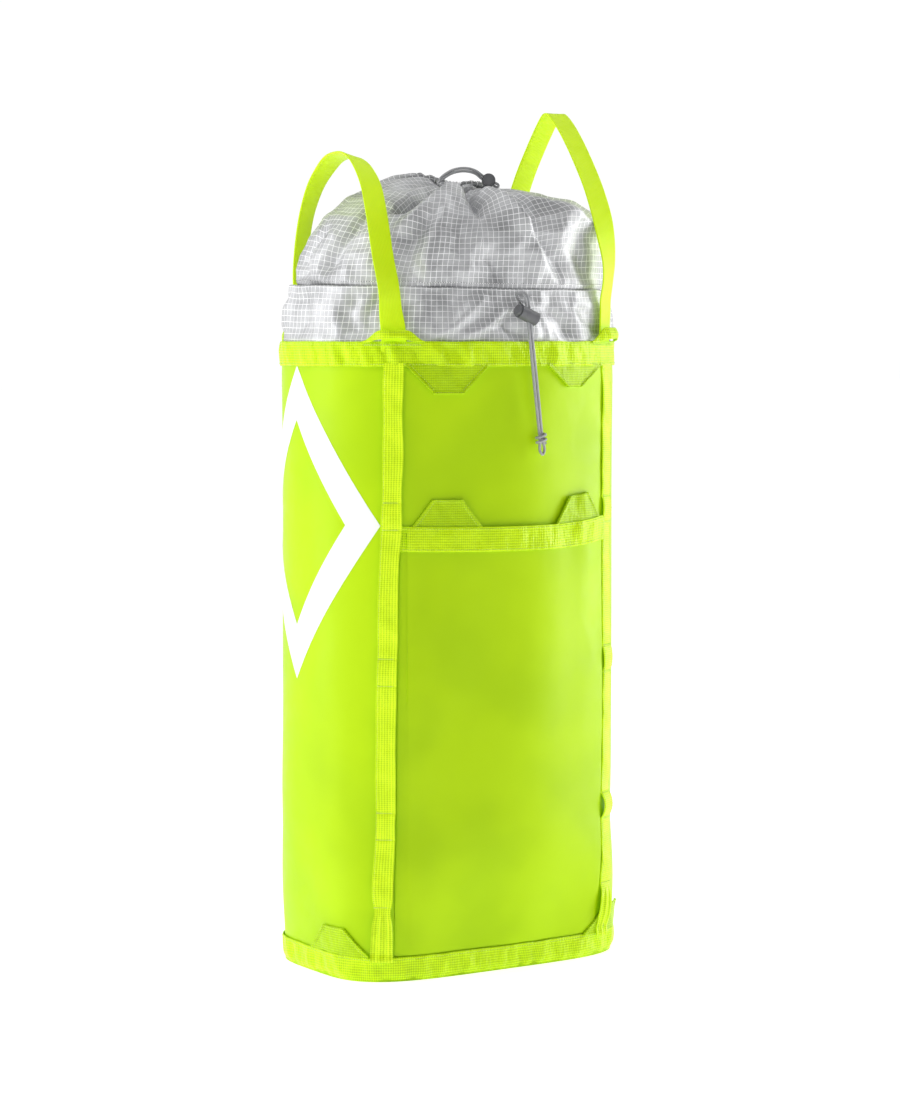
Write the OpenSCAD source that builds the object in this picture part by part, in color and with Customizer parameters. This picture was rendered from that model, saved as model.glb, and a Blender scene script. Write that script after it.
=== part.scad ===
// Rope storage bag: an oval bucket bag with a drawcord hood, two carry handles,
// a flat front pocket and four sewn gear chains. Millimetres.
// +Z is up, the front (pocket) faces -Y, the handles stand on the left and right (X) ends.
// The origin is the middle of the underside.

/* [Bag] */
// Width of the bag at its middle
bag_w = 356; // [320:1:380]
// Depth of the bag at its middle
bag_d = 254; // [230:1:270]
// Width of the base
base_w = 332; // [300:1:350]
// Depth of the base
base_d = 206; // [180:1:225]
// Height of the top edge
rim_h = 640; // [600:1:680]
// Height over which the boxy base becomes oval
blend_h = 160; // [120:1:220]
// Thickness of the coated tarp
tarp_t = 1.2; // [0.8:0.1:1.4]

/* [Webbing] */
// Width of the rim, base, trim and handle webbing
web_w = 25; // [22:1:28]
// Thickness of all webbing
web_t = 1.5; // [1:0.1:1.8]
// Width of the gear chain webbing
chain_w = 20; // [16:1:22]
// Distance of each front gear chain from the middle of the front, along the wall
chain_s = 132; // [125:1:138]
// Bottom of each chain loop
loop_zs = [145, 299, 454];
// Height of a chain loop
loop_h = 27; // [24:1:30]
// How far a chain loop stands off
loop_lift = 3.2; // [1:0.1:5]
// Top of the free tail of a chain
tail_h = 77; // [60:1:90]

/* [Tabs] */
// Width of a tab at its sewn edge
tab_w = 84; // [70:1:84]
// Width of a tab at its free edge
tab_tip_w = 35; // [25:1:45]
// Height of a tab
tab_h = 28; // [20:1:32]

/* [Pocket] */
// Top of the pocket trim
pocket_h = 456; // [430:1:465]
// How far the pocket mouth stands open
pocket_gape = 8; // [6:0.5:10]

/* [Handles] */
// Top of the left handle
left_top = 828; // [815:1:860]
// Top of the right handle
right_top = 879; // [860:1:900]
// Height of the line where the handles fold over
fold_h = 683; // [676:1:690]

/* [Hood] */
// Height of the seam between hood band and dome
seam_h = 695; // [685:1:705]
// Rise of the dome above the seam
dome_rise = 101; // [95:1:105]
// Size of the dome at the seam, as a part of the bag's size
seam_scale = 0.93; // [0.92:0.01:0.95]
// Thickness of the hood cloth
cloth_t = 0.8; // [0.6:0.1:1]
// Middle of the drawn-in mouth
crown = [12, 8];
// Radius of the drawn-in mouth
mouth_r = 20; // [18:1:22]

/* [Cords and locks] */
// Diameter of the drawcords
cord_d = 2.8; // [2.4:0.1:3]
// Radius of a cordlock
lock_r = 7; // [6.5:0.1:7.5]
// Travel of a cordlock button
press = 3; // [2:0.1:3]
// Middle of the front cordlock
side_lock = [5.8, -138.5, 665.5];
// Middle of the crown cordlock
top_lock = [39, -15, 805.5];

/* [Hidden] */
$fn = 48;
gap = 0.4;
columns = 100;
mid_n = 2.25;
base_n = 4;
web_in = tarp_t + gap;

lime = [0.83, 0.98, 0.25];
lime_web = [0.75, 0.88, 0.2];
silver = [0.76, 0.77, 0.78];
grey = [0.4, 0.4, 0.42];

function mix(a, b, t) = a + (b - a) * t;
function clamp01(t) = max(0, min(1, t));
function smooth(t) = let (c = clamp01(t)) c * c * (3 - 2 * c);
function unit(v) = v / norm(v);
function signpow(v, p) = sign(v) * pow(abs(v), p);

// Half width, half depth and squareness of the wall at a height
function section(z) = let (t = smooth(z / blend_h)) [
  mix(base_w, bag_w, t) / 2, mix(base_d, bag_d, t) / 2, mix(base_n, mid_n, t)];

// Wall radius of a section in the direction phi (0 is the front, + turns to the right end)
function radius(c, phi) = pow(
  pow(abs(sin(phi)) / c[0], c[2]) + pow(abs(cos(phi)) / c[1], c[2]), -1 / c[2]);

// Direction phi against distance along the oval wall, from the middle of the front
function step_length(c, phi, d) = let (a = radius(c, phi), b = radius(c, phi + d))
  norm([a * sin(phi) - b * sin(phi + d), a * cos(phi) - b * cos(phi + d)]);
oval = section(rim_h);
along = [for (i = 0, s = 0; i <= 180; s = s + step_length(oval, i, 1), i = i + 1) [s, i]];
half_girth = along[180][0];
pitch = 2 * half_girth / columns;
function phi_at(s) = sign(s) * lookup(abs(s), along);

// A point of the wall: s along it, height z, off outward; k scales the section
function wall(s, z, off = 0, k = 1) = let (
    c = section(z), phi = phi_at(s), r = k * radius(c, phi),
    x = r * sin(phi), y = -r * cos(phi),
    n = unit([signpow(x / c[0] / k, c[2] - 1) / c[0], signpow(y / c[1] / k, c[2] - 1) / c[1]])
  ) [x + off * n[0], y + off * n[1], z];

// Stations from a to b that share the whole bag's pitch, so stacked layers stay parallel
function stations(a, b, p) = concat([a],
  [for (i = [ceil((a + 0.5) / p) : floor((b - 0.5) / p)]) i * p], [b]);
function heights(a, b) = concat([a],
  [for (z = [20 : 20 : blend_h]) if (z > a + 1 && z < b - 1) z], [b]);
function ring_stations() = [for (i = [0 : columns - 1]) -half_girth + i * pitch];

// Closed solid between an outer and an inner grid of points, open strip or ring
module skin(a, b, ring = false) {
  n = len(a);
  m = len(a[0]);
  o = n * m;
  last = ring ? m - 1 : m - 2;
  top = (n - 1) * m;
  faces = concat(
    [for (i = [0 : n - 2]) for (j = [0 : last]) let (p = i * m + j, q = i * m + (j + 1) % m)
      each [[p, p + m, q + m], [p, q + m, q], [o + p, o + q + m, o + p + m], [o + p, o + q, o + q + m]]],
    [for (j = [0 : last]) let (k = (j + 1) % m)
      each [[j, k, o + k], [j, o + k, o + j],
            [top + k, top + j, o + top + j], [top + k, o + top + j, o + top + k]]],
    ring ? [] : [for (i = [0 : n - 2]) let (p = i * m, q = i * m + m - 1)
      each [[p + m, p, o + p], [p + m, o + p, o + p + m],
            [q, q + m, o + q + m], [q, o + q + m, o + q]]]);
  polyhedron([each [for (r = a) each r], each [for (r = b) each r]], faces, convexity = 8);
}

// Strip of wall from s0 to s1 and z0 to z1, lift outward and t thick
module strip(s0, s1, z0, z1, lift, t)
  skin([for (z = heights(z0, z1)) [for (s = stations(s0, s1, pitch)) wall(s, z, lift + t)]],
       [for (z = heights(z0, z1)) [for (s = stations(s0, s1, pitch)) wall(s, z, lift)]]);

// Band right round the wall
module band(z0, z1, lift, t)
  skin([for (z = heights(z0, z1)) [for (s = ring_stations()) wall(s, z, lift + t)]],
       [for (z = heights(z0, z1)) [for (s = ring_stations()) wall(s, z, lift)]], ring = true);

// Tab with slanted ends: middle at s, sewn edge at z0 and free edge at z1; bow(u) lifts it
module tab(s, z0, z1, lift, t, w = tab_w, tip = tab_tip_w, bow = function(u) 0) {
  us = [for (i = [-8 : 8]) i / 8];
  vs = [0, 0.15, 1];
  function half(v) = mix(w, tip, max(0, (v - 0.15) / 0.85)) / 2;
  function grid(o) = [for (v = vs) [for (u = us)
    wall(s + u * half(v), mix(z0, z1, v), lift + o + bow(u))]];
  if (z1 > z0) skin(grid(t), grid(0));
  else skin([for (i = [2, 1, 0]) grid(t)[i]], [for (i = [2, 1, 0]) grid(0)[i]]);
}

// Round cord swept through points
module cord(points, d) {
  n = len(points);
  k = 8;
  function along_at(i) = unit(points[min(n - 1, i + 1)] - points[max(0, i - 1)]);
  function side_at(i) = let (t = along_at(i), u = abs(t[1]) < 0.9 ? [0, 1, 0] : [1, 0, 0])
    unit(cross(t, u));
  rings = [for (i = [0 : n - 1]) let (t = along_at(i), u = side_at(i), v = cross(t, u))
    [for (j = [0 : k - 1]) points[i] + d / 2 * (cos(j * 360 / k) * u + sin(j * 360 / k) * v)]];
  polyhedron([for (r = rings) each r], concat(
    [for (i = [0 : n - 2]) for (j = [0 : k - 1]) let (p = i * k + j, q = i * k + (j + 1) % k)
      each [[p, p + k, q + k], [p, q + k, q]]],
    [[for (j = [0 : k - 1]) j]], [[for (j = [k - 1 : -1 : 0]) (n - 1) * k + j]]), convexity = 8);
}

// Flat webbing through [x, y, z, turn] stations, its width along X turned about Z
module ribbon(path, w, t) {
  n = len(path);
  function p(i) = [path[i][0], path[i][1], path[i][2]];
  function across(i) = [cos(path[i][3]), sin(path[i][3]), 0];
  function out(i) = unit(cross(unit(p(min(n - 1, i + 1)) - p(max(0, i - 1))), across(i)));
  function row(i, side) = [for (u = [-1, 0, 1]) p(i) + u * w / 2 * across(i) + side * t / 2 * out(i)];
  skin([for (i = [0 : n - 1]) row(i, -1)], [for (i = [0 : n - 1]) row(i, 1)]);
}

// ---- bag walls ----
module front_panel() color(lime) strip(-chain_s + 0.2, chain_s - 0.2, tarp_t + gap, rim_h, 0, tarp_t);
module back_panel() color(lime) rotate(180) front_panel();
module right_side_panel() color(lime)
  strip(chain_s + 0.2, half_girth - chain_s - 0.2, tarp_t + gap, rim_h, 0, tarp_t);
module left_side_panel() color(lime) rotate(180) right_side_panel();
module base_panel() color(lime) linear_extrude(tarp_t)
  polygon([for (s = ring_stations()) let (p = wall(s, 0, tarp_t)) [p[0], p[1]]]);
module base_stiffener() color(grey) translate([0, 0, tarp_t + gap]) linear_extrude(3)
  polygon([for (s = ring_stations()) let (p = wall(s, 0, -1.5)) [p[0], p[1]]]);
module base_binding() color(lime_web) band(tarp_t + gap, web_w + 1, web_in, web_t);
module rim_binding() color(lime_web) band(rim_h - web_w, rim_h, web_in, web_t);

// ---- front pocket ----
pocket_half = chain_s - chain_w / 2 - 1;
function gape(s, z) = pocket_gape * pow(cos(90 * clamp01(abs(s) / pocket_half)), 2)
  * pow(clamp01(z / pocket_h), 1.5);
module pocket_layer(z0, z1, lift, t) {
  zs = concat(heights(z0, min(z1, blend_h)), z1 > blend_h ? [240, 320, 380, z1] : []);
  ss = stations(-pocket_half, pocket_half, pitch);
  skin([for (z = zs) [for (s = ss) wall(s, z, lift + t + gape(s, z))]],
       [for (z = zs) [for (s = ss) wall(s, z, lift + gape(s, z))]]);
}
trim_z = pocket_h - web_w;
module pocket_panel() color(lime) pocket_layer(web_w + 1 + gap, trim_z + 13, web_in, tarp_t);
module pocket_trim() color(lime_web) {
  zs = [trim_z, pocket_h];
  ss = stations(-pocket_half, pocket_half, pitch);
  lift = web_in + tarp_t + gap;
  skin([for (z = zs) [for (s = ss) wall(s, z, lift + web_t + gape(s, z))]],
       [for (z = zs) [for (s = ss) wall(s, z, lift + gape(s, z))]]);
}

// ---- gear chains ----
function loop_at(z) = max([for (z0 = loop_zs) z > z0 && z < z0 + loop_h
  ? loop_lift * sin(180 * (z - z0) / loop_h) : 0]);
function tail_at(z, lift) = lift * smooth((tail_h - z) / 14);
// The front left chain wanders towards the side on its way down
function course(z) = lookup(z, [[0, -13.5], [30, -13], [77, -10], [145, -9], [220, -8], [299, -7],
  [373, -6], [430, -4], [454, -2.5], [520, -1], [640, 0]]);
module daisy_chain(s, tail_lift = 0.6, wander = 0) {
  z0 = web_w + 1 + gap;
  zs = concat([z0, 38, 51, 63, 70, tail_h, 90, 105, 120, 133],
    [for (l = loop_zs) for (i = [0 : 4]) l + i * loop_h / 4], [rim_h - web_w - gap]);
  ss = stations(s - chain_w / 2, s + chain_w / 2, pitch);
  function lift(z) = web_in + loop_at(z) + tail_at(z, tail_lift);
  color(lime_web) skin([for (z = zs) [for (q = ss) wall(q + wander * course(z), z, lift(z) + web_t)]],
                       [for (z = zs) [for (q = ss) wall(q + wander * course(z), z, lift(z))]]);
}
module daisy_chain_front_left() daisy_chain(-chain_s, wander = 1);
module daisy_chain_front_right() daisy_chain(chain_s, 4.9);
module daisy_chain_rear_left() rotate(180) daisy_chain(chain_s);
module daisy_chain_rear_right() rotate(180) daisy_chain(-chain_s);

// ---- tabs ----
tab_s = pocket_half - tab_w / 2;
rim_edge = rim_h - web_w - gap;
base_edge = web_w + 1 + gap;
corner_lift = web_in + tarp_t + 1.4;
module rim_tab_left() color(lime_web) tab(-tab_s, rim_edge, rim_edge - tab_h, web_in, 2);
module rim_tab_right() color(lime_web) tab(tab_s - 2, rim_edge, rim_edge - 21, web_in + 0.6, 2, tip = 24);
module pocket_tab(s) color(lime_web) tab(s, trim_z + 13 + gap, pocket_h + tab_h, web_in, tarp_t,
  bow = function(u) gape(s + u * tab_w / 2, pocket_h));
module pocket_tab_left() pocket_tab(-tab_s);
module pocket_tab_right() pocket_tab(tab_s);
module base_tab_left() color(lime_web)
  tab(-chain_s - chain_w / 2 - 14 - tab_w / 2, base_edge, base_edge + tab_h, web_in + 0.9, 2);
module base_tab_right() color(lime_web)
  tab(chain_s + 18, base_edge, base_edge + tab_h, corner_lift, tarp_t);

// ---- handle keepers, feet and handles ----
keeper_w = 62;
module keeper(s) color(lime_web) tab(s, rim_h - 6, rim_h + 14, web_in + web_t + gap, web_t,
  w = keeper_w, tip = 46, bow = function(u) 8 * pow(cos(80 * u), 2));
module handle_keeper_front_left() keeper(-chain_s);
module handle_keeper_front_right() keeper(chain_s);
module handle_keeper_rear_left() rotate(180) keeper(chain_s);
module handle_keeper_rear_right() rotate(180) keeper(-chain_s);

// Left handle line, x leaning a little with y
left_x = -125;
left_lean = 0.072;
left_y = 95;
left_rear_y = 100.5;
function left_station(y, z, turn = 0) = [left_x + left_lean * y, y, z, turn];
right_x = 128;
right_front_y = -102;
right_rear_y = 96;
function foot(s, end, turn) = let (a = wall(s, rim_h + 1, 1.8)) [
  for (t = [0, 0.25, 0.5, 0.75, 1]) let (k = smooth(t)) [
    mix(a[0], end[0], k), mix(a[1], end[1], k), mix(rim_h + 1, fold_h - 0.3, t), turn * (1 - k)]];
module handle_foot_front_left() color(lime_web)
  ribbon(foot(-chain_s, left_station(-left_y, 0), -32), web_w, web_t);
module handle_foot_rear_left() color(lime_web)
  ribbon(foot(-half_girth + chain_s, left_station(left_rear_y, 0), 32), web_w, web_t);
module handle_foot_front_right() color(lime_web)
  ribbon(foot(chain_s, [right_x, right_front_y], 32), web_w, web_t);
module handle_foot_rear_right() color(lime_web)
  ribbon(foot(half_girth - chain_s, [right_x, right_rear_y], -32), web_w, web_t);

rise_l = left_top - web_t / 2 - fold_h;
module handle_left() color(lime_web) ribbon([
    for (v = [[-1, 0], [-0.99, 0.12], [-0.96, 0.26], [-0.88, 0.45], [-0.76, 0.63], [-0.6, 0.79],
              [-0.4, 0.915], [-0.2, 0.98], [0, 1], [0.2, 0.98], [0.4, 0.915], [0.6, 0.79],
              [0.78, 0.63], [0.9, 0.45], [0.98, 0.26], [1, 0.12], [1, 0]])
      left_station(v[0] * (v[0] < 0 ? left_y : left_rear_y), fold_h + 0.3 + v[1] * (rise_l - 0.3))], web_w, web_t);

rise_r = right_top - 1 - fold_h;
module handle_right() color(lime_web) ribbon([
    for (v = [[right_front_y, 0], [-104, 0.14], [-101, 0.28], [-93, 0.42], [-79, 0.57], [-60, 0.72],
              [-42, 0.84], [-26, 0.93], [-13, 0.985], [-6, 1], [1, 0.985], [12, 0.92], [27, 0.82],
              [46, 0.68], [66, 0.5], [83, 0.32], [92, 0.16], [right_rear_y, 0]])
      [right_x, v[0], fold_h + 0.3 + v[1] * (rise_r - 0.3), 0]], web_w, web_t);

// ---- hood ----
function band_scale(z) = mix(1, seam_scale, clamp01((z - rim_h) / (seam_h - rim_h)));
band_in = -cloth_t - 0.8;
module hood_band() color(silver) {
  zs = [rim_h - 40, rim_h, rim_h + 28, seam_h];
  skin([for (z = zs) [for (s = ring_stations()) wall(s, z, band_in + cloth_t, band_scale(z))]],
       [for (z = zs) [for (s = ring_stations()) wall(s, z, band_in, band_scale(z))]], ring = true);
}
// Dome point: q falls from 1 at the seam to 0 at the crown
crown_q = 0.155;
function dome(s, q, t) = let (
    phi = phi_at(s), w = wall(s, rim_h, band_in + cloth_t - t),
    k = seam_scale * q,
    c = [170 * sin(phi), -170 * cos(phi)], b = smooth((q - crown_q) / 0.5),
    h = pow(max(0, 1 - pow(q, 2.6)), 1 / 2.6)
  ) [crown[0] * (1 - q) + k * mix(c[0], w[0], b), crown[1] * (1 - q) + k * mix(c[1], w[1], b),
     seam_h + gap + h * (dome_rise - t) - 0.25 * t];
module hood_dome() color(silver) {
  qs = [1, 0.985, 0.95, 0.89, 0.8, 0.68, 0.54, 0.4, 0.27, crown_q];
  skin([for (q = qs) [for (s = ring_stations()) dome(s, q, 0)]],
       [for (q = qs) [for (s = ring_stations()) dome(s, q, cloth_t)]], ring = true);
}
hem_r = 3.5;
hem_z = seam_h + dome_rise + hem_r + 0.7;
module hood_hem() color(silver) translate([crown[0], crown[1], hem_z])
  rotate_extrude() translate([mouth_r, 0]) circle(hem_r);
function tab_row(z, w, o) = [for (u = [-1, 1]) wall(12 + u * w, z, o, band_scale(z))];
module cord_tab() color(silver) skin([tab_row(676, 2, 0.6), tab_row(seam_h - 3, 8, 0.6)],
  [tab_row(676, 2, -0.3), tab_row(seam_h - 3, 8, -0.3)]);

// ---- cordlocks, built with the barrel along +X and the cords along Z ----
lock_start = -9.1;
lock_len = 21.3;
bore_r = lock_r - 1.2;
pin_r = bore_r - 0.2;
pin_start = -4.8;
pin_len = 20.3;
one = cord_d / 2 + 0.5;
two = cord_d + 0.8;
module barrel(x, r, h) translate([x, 0, 0]) rotate([0, 90, 0]) cylinder(r = r, h = h);
module lock_shell() difference() {
  barrel(lock_start, lock_r, lock_len);
  barrel(lock_start + 1.2, bore_r, lock_len);
}
module lock_spring() difference() {
  barrel(lock_start + 1.3, 4.4, 1.9);
  barrel(lock_start, 3.4, 8);
}
// Opening across the barrel for the doubled cord, from x0 to x1 and y either way
module cord_gate(x0, x1, y) translate([x0, -y, -lock_r - 4]) cube([x1 - x0, 2 * y, 2 * lock_r + 8]);

side_tilt = 30;
side_lean = 7;
module side_place() translate(side_lock) rotate([0, -side_lean, 0]) rotate([0, 0, 180])
  children();
module side_barrel() rotate([0, -side_tilt, 0]) children();
module side_cordlock_body() color(grey) side_place() difference() {
  side_barrel() lock_shell();
  cord_gate(-two, two, one);
}
module side_cordlock_button() color(grey) side_place() difference() {
  side_barrel() barrel(pin_start, pin_r, pin_len);
  cord_gate(-two, two + press * cos(side_tilt), one);
}
module side_cordlock_spring() color(grey) side_place() side_barrel() lock_spring();

top_turn = 237.4;
top_dip = -30;
module top_place() translate(top_lock) rotate([0, 0, top_turn]) rotate([top_dip, 0, 0])
  rotate([90, 0, 0]) children();
module top_cordlock_body() color(grey) top_place() difference() {
  lock_shell();
  cord_gate(-one, one, two);
}
module top_cordlock_button() color(grey) top_place() difference() {
  barrel(pin_start, pin_r, pin_len);
  cord_gate(-one, one + press, two);
}
module top_cordlock_spring() color(grey) top_place() lock_spring();

// ---- drawcords ----
// A point beside the front lock's cord line: z along the cord, x across, y out
function hang(x, y, z) = let (c = cos(side_lean), s = sin(side_lean))
  side_lock + [x * c - z * s, y, x * s + z * c];
strand = cord_d / 2 + 0.1;
side_path = concat(
  [hang(-strand, 16.2, 22), hang(-strand, 6, 22.5), hang(-strand, 1.6, 19.5), hang(-strand, 0, 14)],
  [for (z = [4 : -8 : -124]) hang(-strand, 0, z)],
  [hang(-2.6, 0, -131), hang(-2.7, 0, -136), hang(0, 0, -140), hang(2.7, 0, -136), hang(2.6, 0, -131)],
  [for (z = [-124 : 8 : 4]) hang(strand, 0, z)],
  [hang(strand, 0, 14), hang(strand, 1.6, 19.5), hang(strand, 6, 22.5), hang(strand, 16.2, 22)]);
module side_drawcord() color(grey) cord(side_path, cord_d);
module side_cord_knot() color(grey) translate(hang(0, 0, -124)) rotate([0, -side_lean, 0])
  for (i = [-1, 0, 1]) translate([0, 0, i * 2.9]) rotate_extrude() translate([4.8, 0]) circle(1.35);

// The crown cord leaves the hem, arches over into the lock and comes back beside itself
function lock_point(u, w) = let (
    l = [cos(top_turn + 90), sin(top_turn + 90), 0],
    d = cos(top_dip) * l + [0, 0, sin(top_dip)],
    n = [0, 0, cos(top_dip)] - sin(top_dip) * l)
  top_lock + u * d + w * n;
function crown_strand(w) = [
  [-7, 6, 806 + w], [-3, 3.6, 810 + w], [4, 0.6, 814.4 + w], [12, -3, 816.6 + w],
  [20, -6.6, 816.4 + w], [27, -9.6, 814 + w]];
module top_drawcord() color(grey) cord(concat(
    crown_strand(strand), [lock_point(-8, strand), lock_point(0, strand), lock_point(7, strand),
    lock_point(10.5, strand * 1.15), lock_point(12, 0), lock_point(10.5, -strand * 1.15),
    lock_point(7, -strand), lock_point(0, -strand), lock_point(-8, -strand)],
    [for (i = [5 : -1 : 0]) crown_strand(-strand)[i]]), cord_d);

front_panel();
back_panel();
left_side_panel();
right_side_panel();
base_panel();
base_stiffener();
base_binding();
rim_binding();
pocket_panel();
pocket_trim();
daisy_chain_front_left();
daisy_chain_front_right();
daisy_chain_rear_left();
daisy_chain_rear_right();
rim_tab_left();
rim_tab_right();
pocket_tab_left();
pocket_tab_right();
base_tab_left();
base_tab_right();
handle_keeper_front_left();
handle_keeper_front_right();
handle_keeper_rear_left();
handle_keeper_rear_right();
handle_foot_front_left();
handle_foot_front_right();
handle_foot_rear_left();
handle_foot_rear_right();
handle_left();
handle_right();
hood_band();
hood_dome();
hood_hem();
cord_tab();
side_cordlock_body();
side_cordlock_button();
side_cordlock_spring();
top_cordlock_body();
top_cordlock_button();
top_cordlock_spring();
side_drawcord();
side_cord_knot();
top_drawcord();
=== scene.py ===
"""Rope storage bag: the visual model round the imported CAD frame. Metres, row frame."""

import math

import bpy
import numpy as np
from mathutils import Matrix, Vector, noise


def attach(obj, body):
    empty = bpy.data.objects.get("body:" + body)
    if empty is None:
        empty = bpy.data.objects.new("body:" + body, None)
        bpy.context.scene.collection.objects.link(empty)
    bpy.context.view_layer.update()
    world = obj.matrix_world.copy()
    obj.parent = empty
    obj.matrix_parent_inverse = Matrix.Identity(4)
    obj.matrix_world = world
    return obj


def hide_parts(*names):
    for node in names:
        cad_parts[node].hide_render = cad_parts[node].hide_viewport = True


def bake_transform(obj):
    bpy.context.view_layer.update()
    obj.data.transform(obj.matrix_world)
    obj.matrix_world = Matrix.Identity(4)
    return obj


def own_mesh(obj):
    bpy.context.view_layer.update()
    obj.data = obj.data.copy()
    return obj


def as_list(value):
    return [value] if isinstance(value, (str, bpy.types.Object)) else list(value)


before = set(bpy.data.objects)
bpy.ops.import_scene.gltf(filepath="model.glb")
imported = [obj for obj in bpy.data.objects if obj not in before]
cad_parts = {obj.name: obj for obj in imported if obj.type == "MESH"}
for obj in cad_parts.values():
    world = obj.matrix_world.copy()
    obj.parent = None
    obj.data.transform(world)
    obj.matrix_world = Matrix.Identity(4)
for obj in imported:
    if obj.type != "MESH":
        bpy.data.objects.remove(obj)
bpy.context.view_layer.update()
MM = 0.001

# ---- sizes, from part.scad
BAG_W, BAG_D, BASE_W, BASE_D = 356, 254, 332, 206
RIM_H, BLEND_H, SEAM_H, FOLD_H = 640, 160, 695, 683
TARP_T, GAP, WEB_W, WEB_T, CHAIN_W, CHAIN_S = 1.2, 0.4, 25, 1.5, 20, 132
LOOPS, LOOP_H, TAIL_H = (145, 299, 454), 27, 77
TAB_W, TAB_TIP, TAB_H, POCKET_H = 84, 31, 27, 456
SEAM_SCALE, CORD_D = 0.93, 2.8
BASE_N, MID_N = 4.0, 2.25
WEB_IN = TARP_T + GAP
TRIM_IN = WEB_IN + TARP_T + GAP
SIDE_LOCK = np.array([5.8, -138.5, 665.5])
TOP_LOCK = np.array([39, -15, 805.5])


# ---- camera
def added(name, data):
    """A new object in the scene."""
    ob = bpy.data.objects.new(name, data)
    bpy.context.collection.objects.link(ob)
    return ob


def turned(turn, reach, z):
    """A point at height z and at reach from the bag's axis, turned from the front."""
    return -math.sin(turn) * reach, -math.cos(turn) * reach, z


def aimed(name, data, place, aim):
    """A new camera or light at one point, aimed at another."""
    ob = added(name, data)
    ob.location = place
    ob.rotation_euler = (Vector(aim) - ob.location).to_track_quat("-Z", "Y").to_euler()
    return ob


VIEW_TURN, CAM_DIST, CAM_H, AIM_H, AIM_SIDE = math.radians(32.72), 3.0766, 0.6457, 0.4231, 0.0011
cam = aimed("camera", bpy.data.cameras.new("camera"), turned(VIEW_TURN, CAM_DIST, CAM_H),
            (AIM_SIDE * math.cos(VIEW_TURN), -AIM_SIDE * math.sin(VIEW_TURN), AIM_H))
cam.data.lens = 96.96
bpy.context.scene.camera = cam
bpy.context.scene.view_settings.view_transform = "Standard"


# ---- the wall
def mix(a, b, t):
    return a + (b - a) * t


def smooth(t):
    c = np.clip(t, 0, 1)
    return c * c * (3 - 2 * c)


def bell(x, middle, reach):
    return np.exp(-(((x - middle) / reach) ** 2))


def stack(*columns):
    return np.stack(columns, -1)


def arched(t):
    """A half sine wave over t from 0 to 1."""
    return np.sin(math.pi * np.clip(t, 0, 1))


def unit(v):
    return v / np.linalg.norm(v, axis=-1, keepdims=True)


def run_along(p):
    """Distance from the first point to each point of a line, or down each column of a grid."""
    step = np.linalg.norm(np.diff(p, axis=0), axis=-1)
    return np.concatenate([0 * step[:1], np.cumsum(step, axis=0)])


def section(z):
    """Half width, half depth and corner power of the bag's oval at height z."""
    t = smooth(np.asarray(z, float) / BLEND_H)
    return mix(BASE_W, BAG_W, t) / 2, mix(BASE_D, BAG_D, t) / 2, mix(BASE_N, MID_N, t)


def outline(oval, phi, off=0.0, k=1.0):
    """x and y of an oval at turn phi (radians from the front), scaled by k and moved off outward."""
    a, b, n = oval
    r = ((np.abs(np.sin(phi)) / a) ** n + (np.abs(np.cos(phi)) / b) ** n) ** (-1 / n)
    x, y = r * np.sin(phi), -r * np.cos(phi)
    nx, ny = np.sign(x) * (np.abs(x) / a) ** (n - 1) / a, np.sign(y) * (np.abs(y) / b) ** (n - 1) / b
    ln = np.hypot(nx, ny)
    return k * x + off * nx / ln, k * y + off * ny / ln


PHI = np.radians(np.arange(181))
ARC = run_along(stack(*outline(section(RIM_H), PHI)))
HALF_GIRTH = float(ARC[-1])
REAR_S = HALF_GIRTH - CHAIN_S


def around(s):
    """s brought to within half a girth of the front's middle."""
    return (np.asarray(s, float) + HALF_GIRTH) % (2 * HALF_GIRTH) - HALF_GIRTH


def phi_at(s):
    return np.sign(around(s)) * np.interp(np.abs(around(s)), ARC, PHI)


# Soft dents and swells of the tarp: along the wall, height, reach along, reach up, outward
SWELLS = [
    (-250, 330, 70, 190, 1.5), (250, 330, 70, 190, 1.5), (-215, 95, 45, 50, -2.4),
    (-280, 180, 40, 60, 1.6), (-180, 240, 26, 90, 1.4), (-70, 70, 40, 40, -2.2),
    (20, 120, 60, 60, 1.6), (90, 60, 40, 40, -1.8), (-95, 300, 30, 120, 1.2),
    (14, 330, 46, 270, 6.3), (-205, 560, 40, 60, -1.6),
    (190, 120, 40, 50, -2.0), (300, 200, 40, 80, 1.6), (400, 150, 60, 60, -2.2),
    (480, 330, 70, 140, 1.6), (-400, 120, 60, 60, -2.0), (-440, 420, 60, 120, 1.4),
    (-134, 330, 30, 420, 4.2), (134, 330, 30, 420, 3.0), (-376, 330, 30, 420, 3.0), (376, 330, 30, 420, 3.0),
]


def swell(s, z):
    d = 0.5 * np.sin(s / 37 + z / 61) + 0.35 * np.sin(s / 19 - z / 43 + 1.3)
    for cs, cz, rs, rz, h in SWELLS:
        d = d + h * bell(around(s - cs), 0, rs) * bell(z, cz, rz)
    return d * smooth(z / 40) * smooth((RIM_H - z) / 40)


def wall(s, z, off=0.0):
    """Points (..., 3) in mm at distance s along the wall, height z, off outward."""
    s, z, off = np.broadcast_arrays(*(np.asarray(v, float) for v in (s, z, off)))
    return stack(*outline(section(z), phi_at(s), off + swell(s, z)), z)


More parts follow.
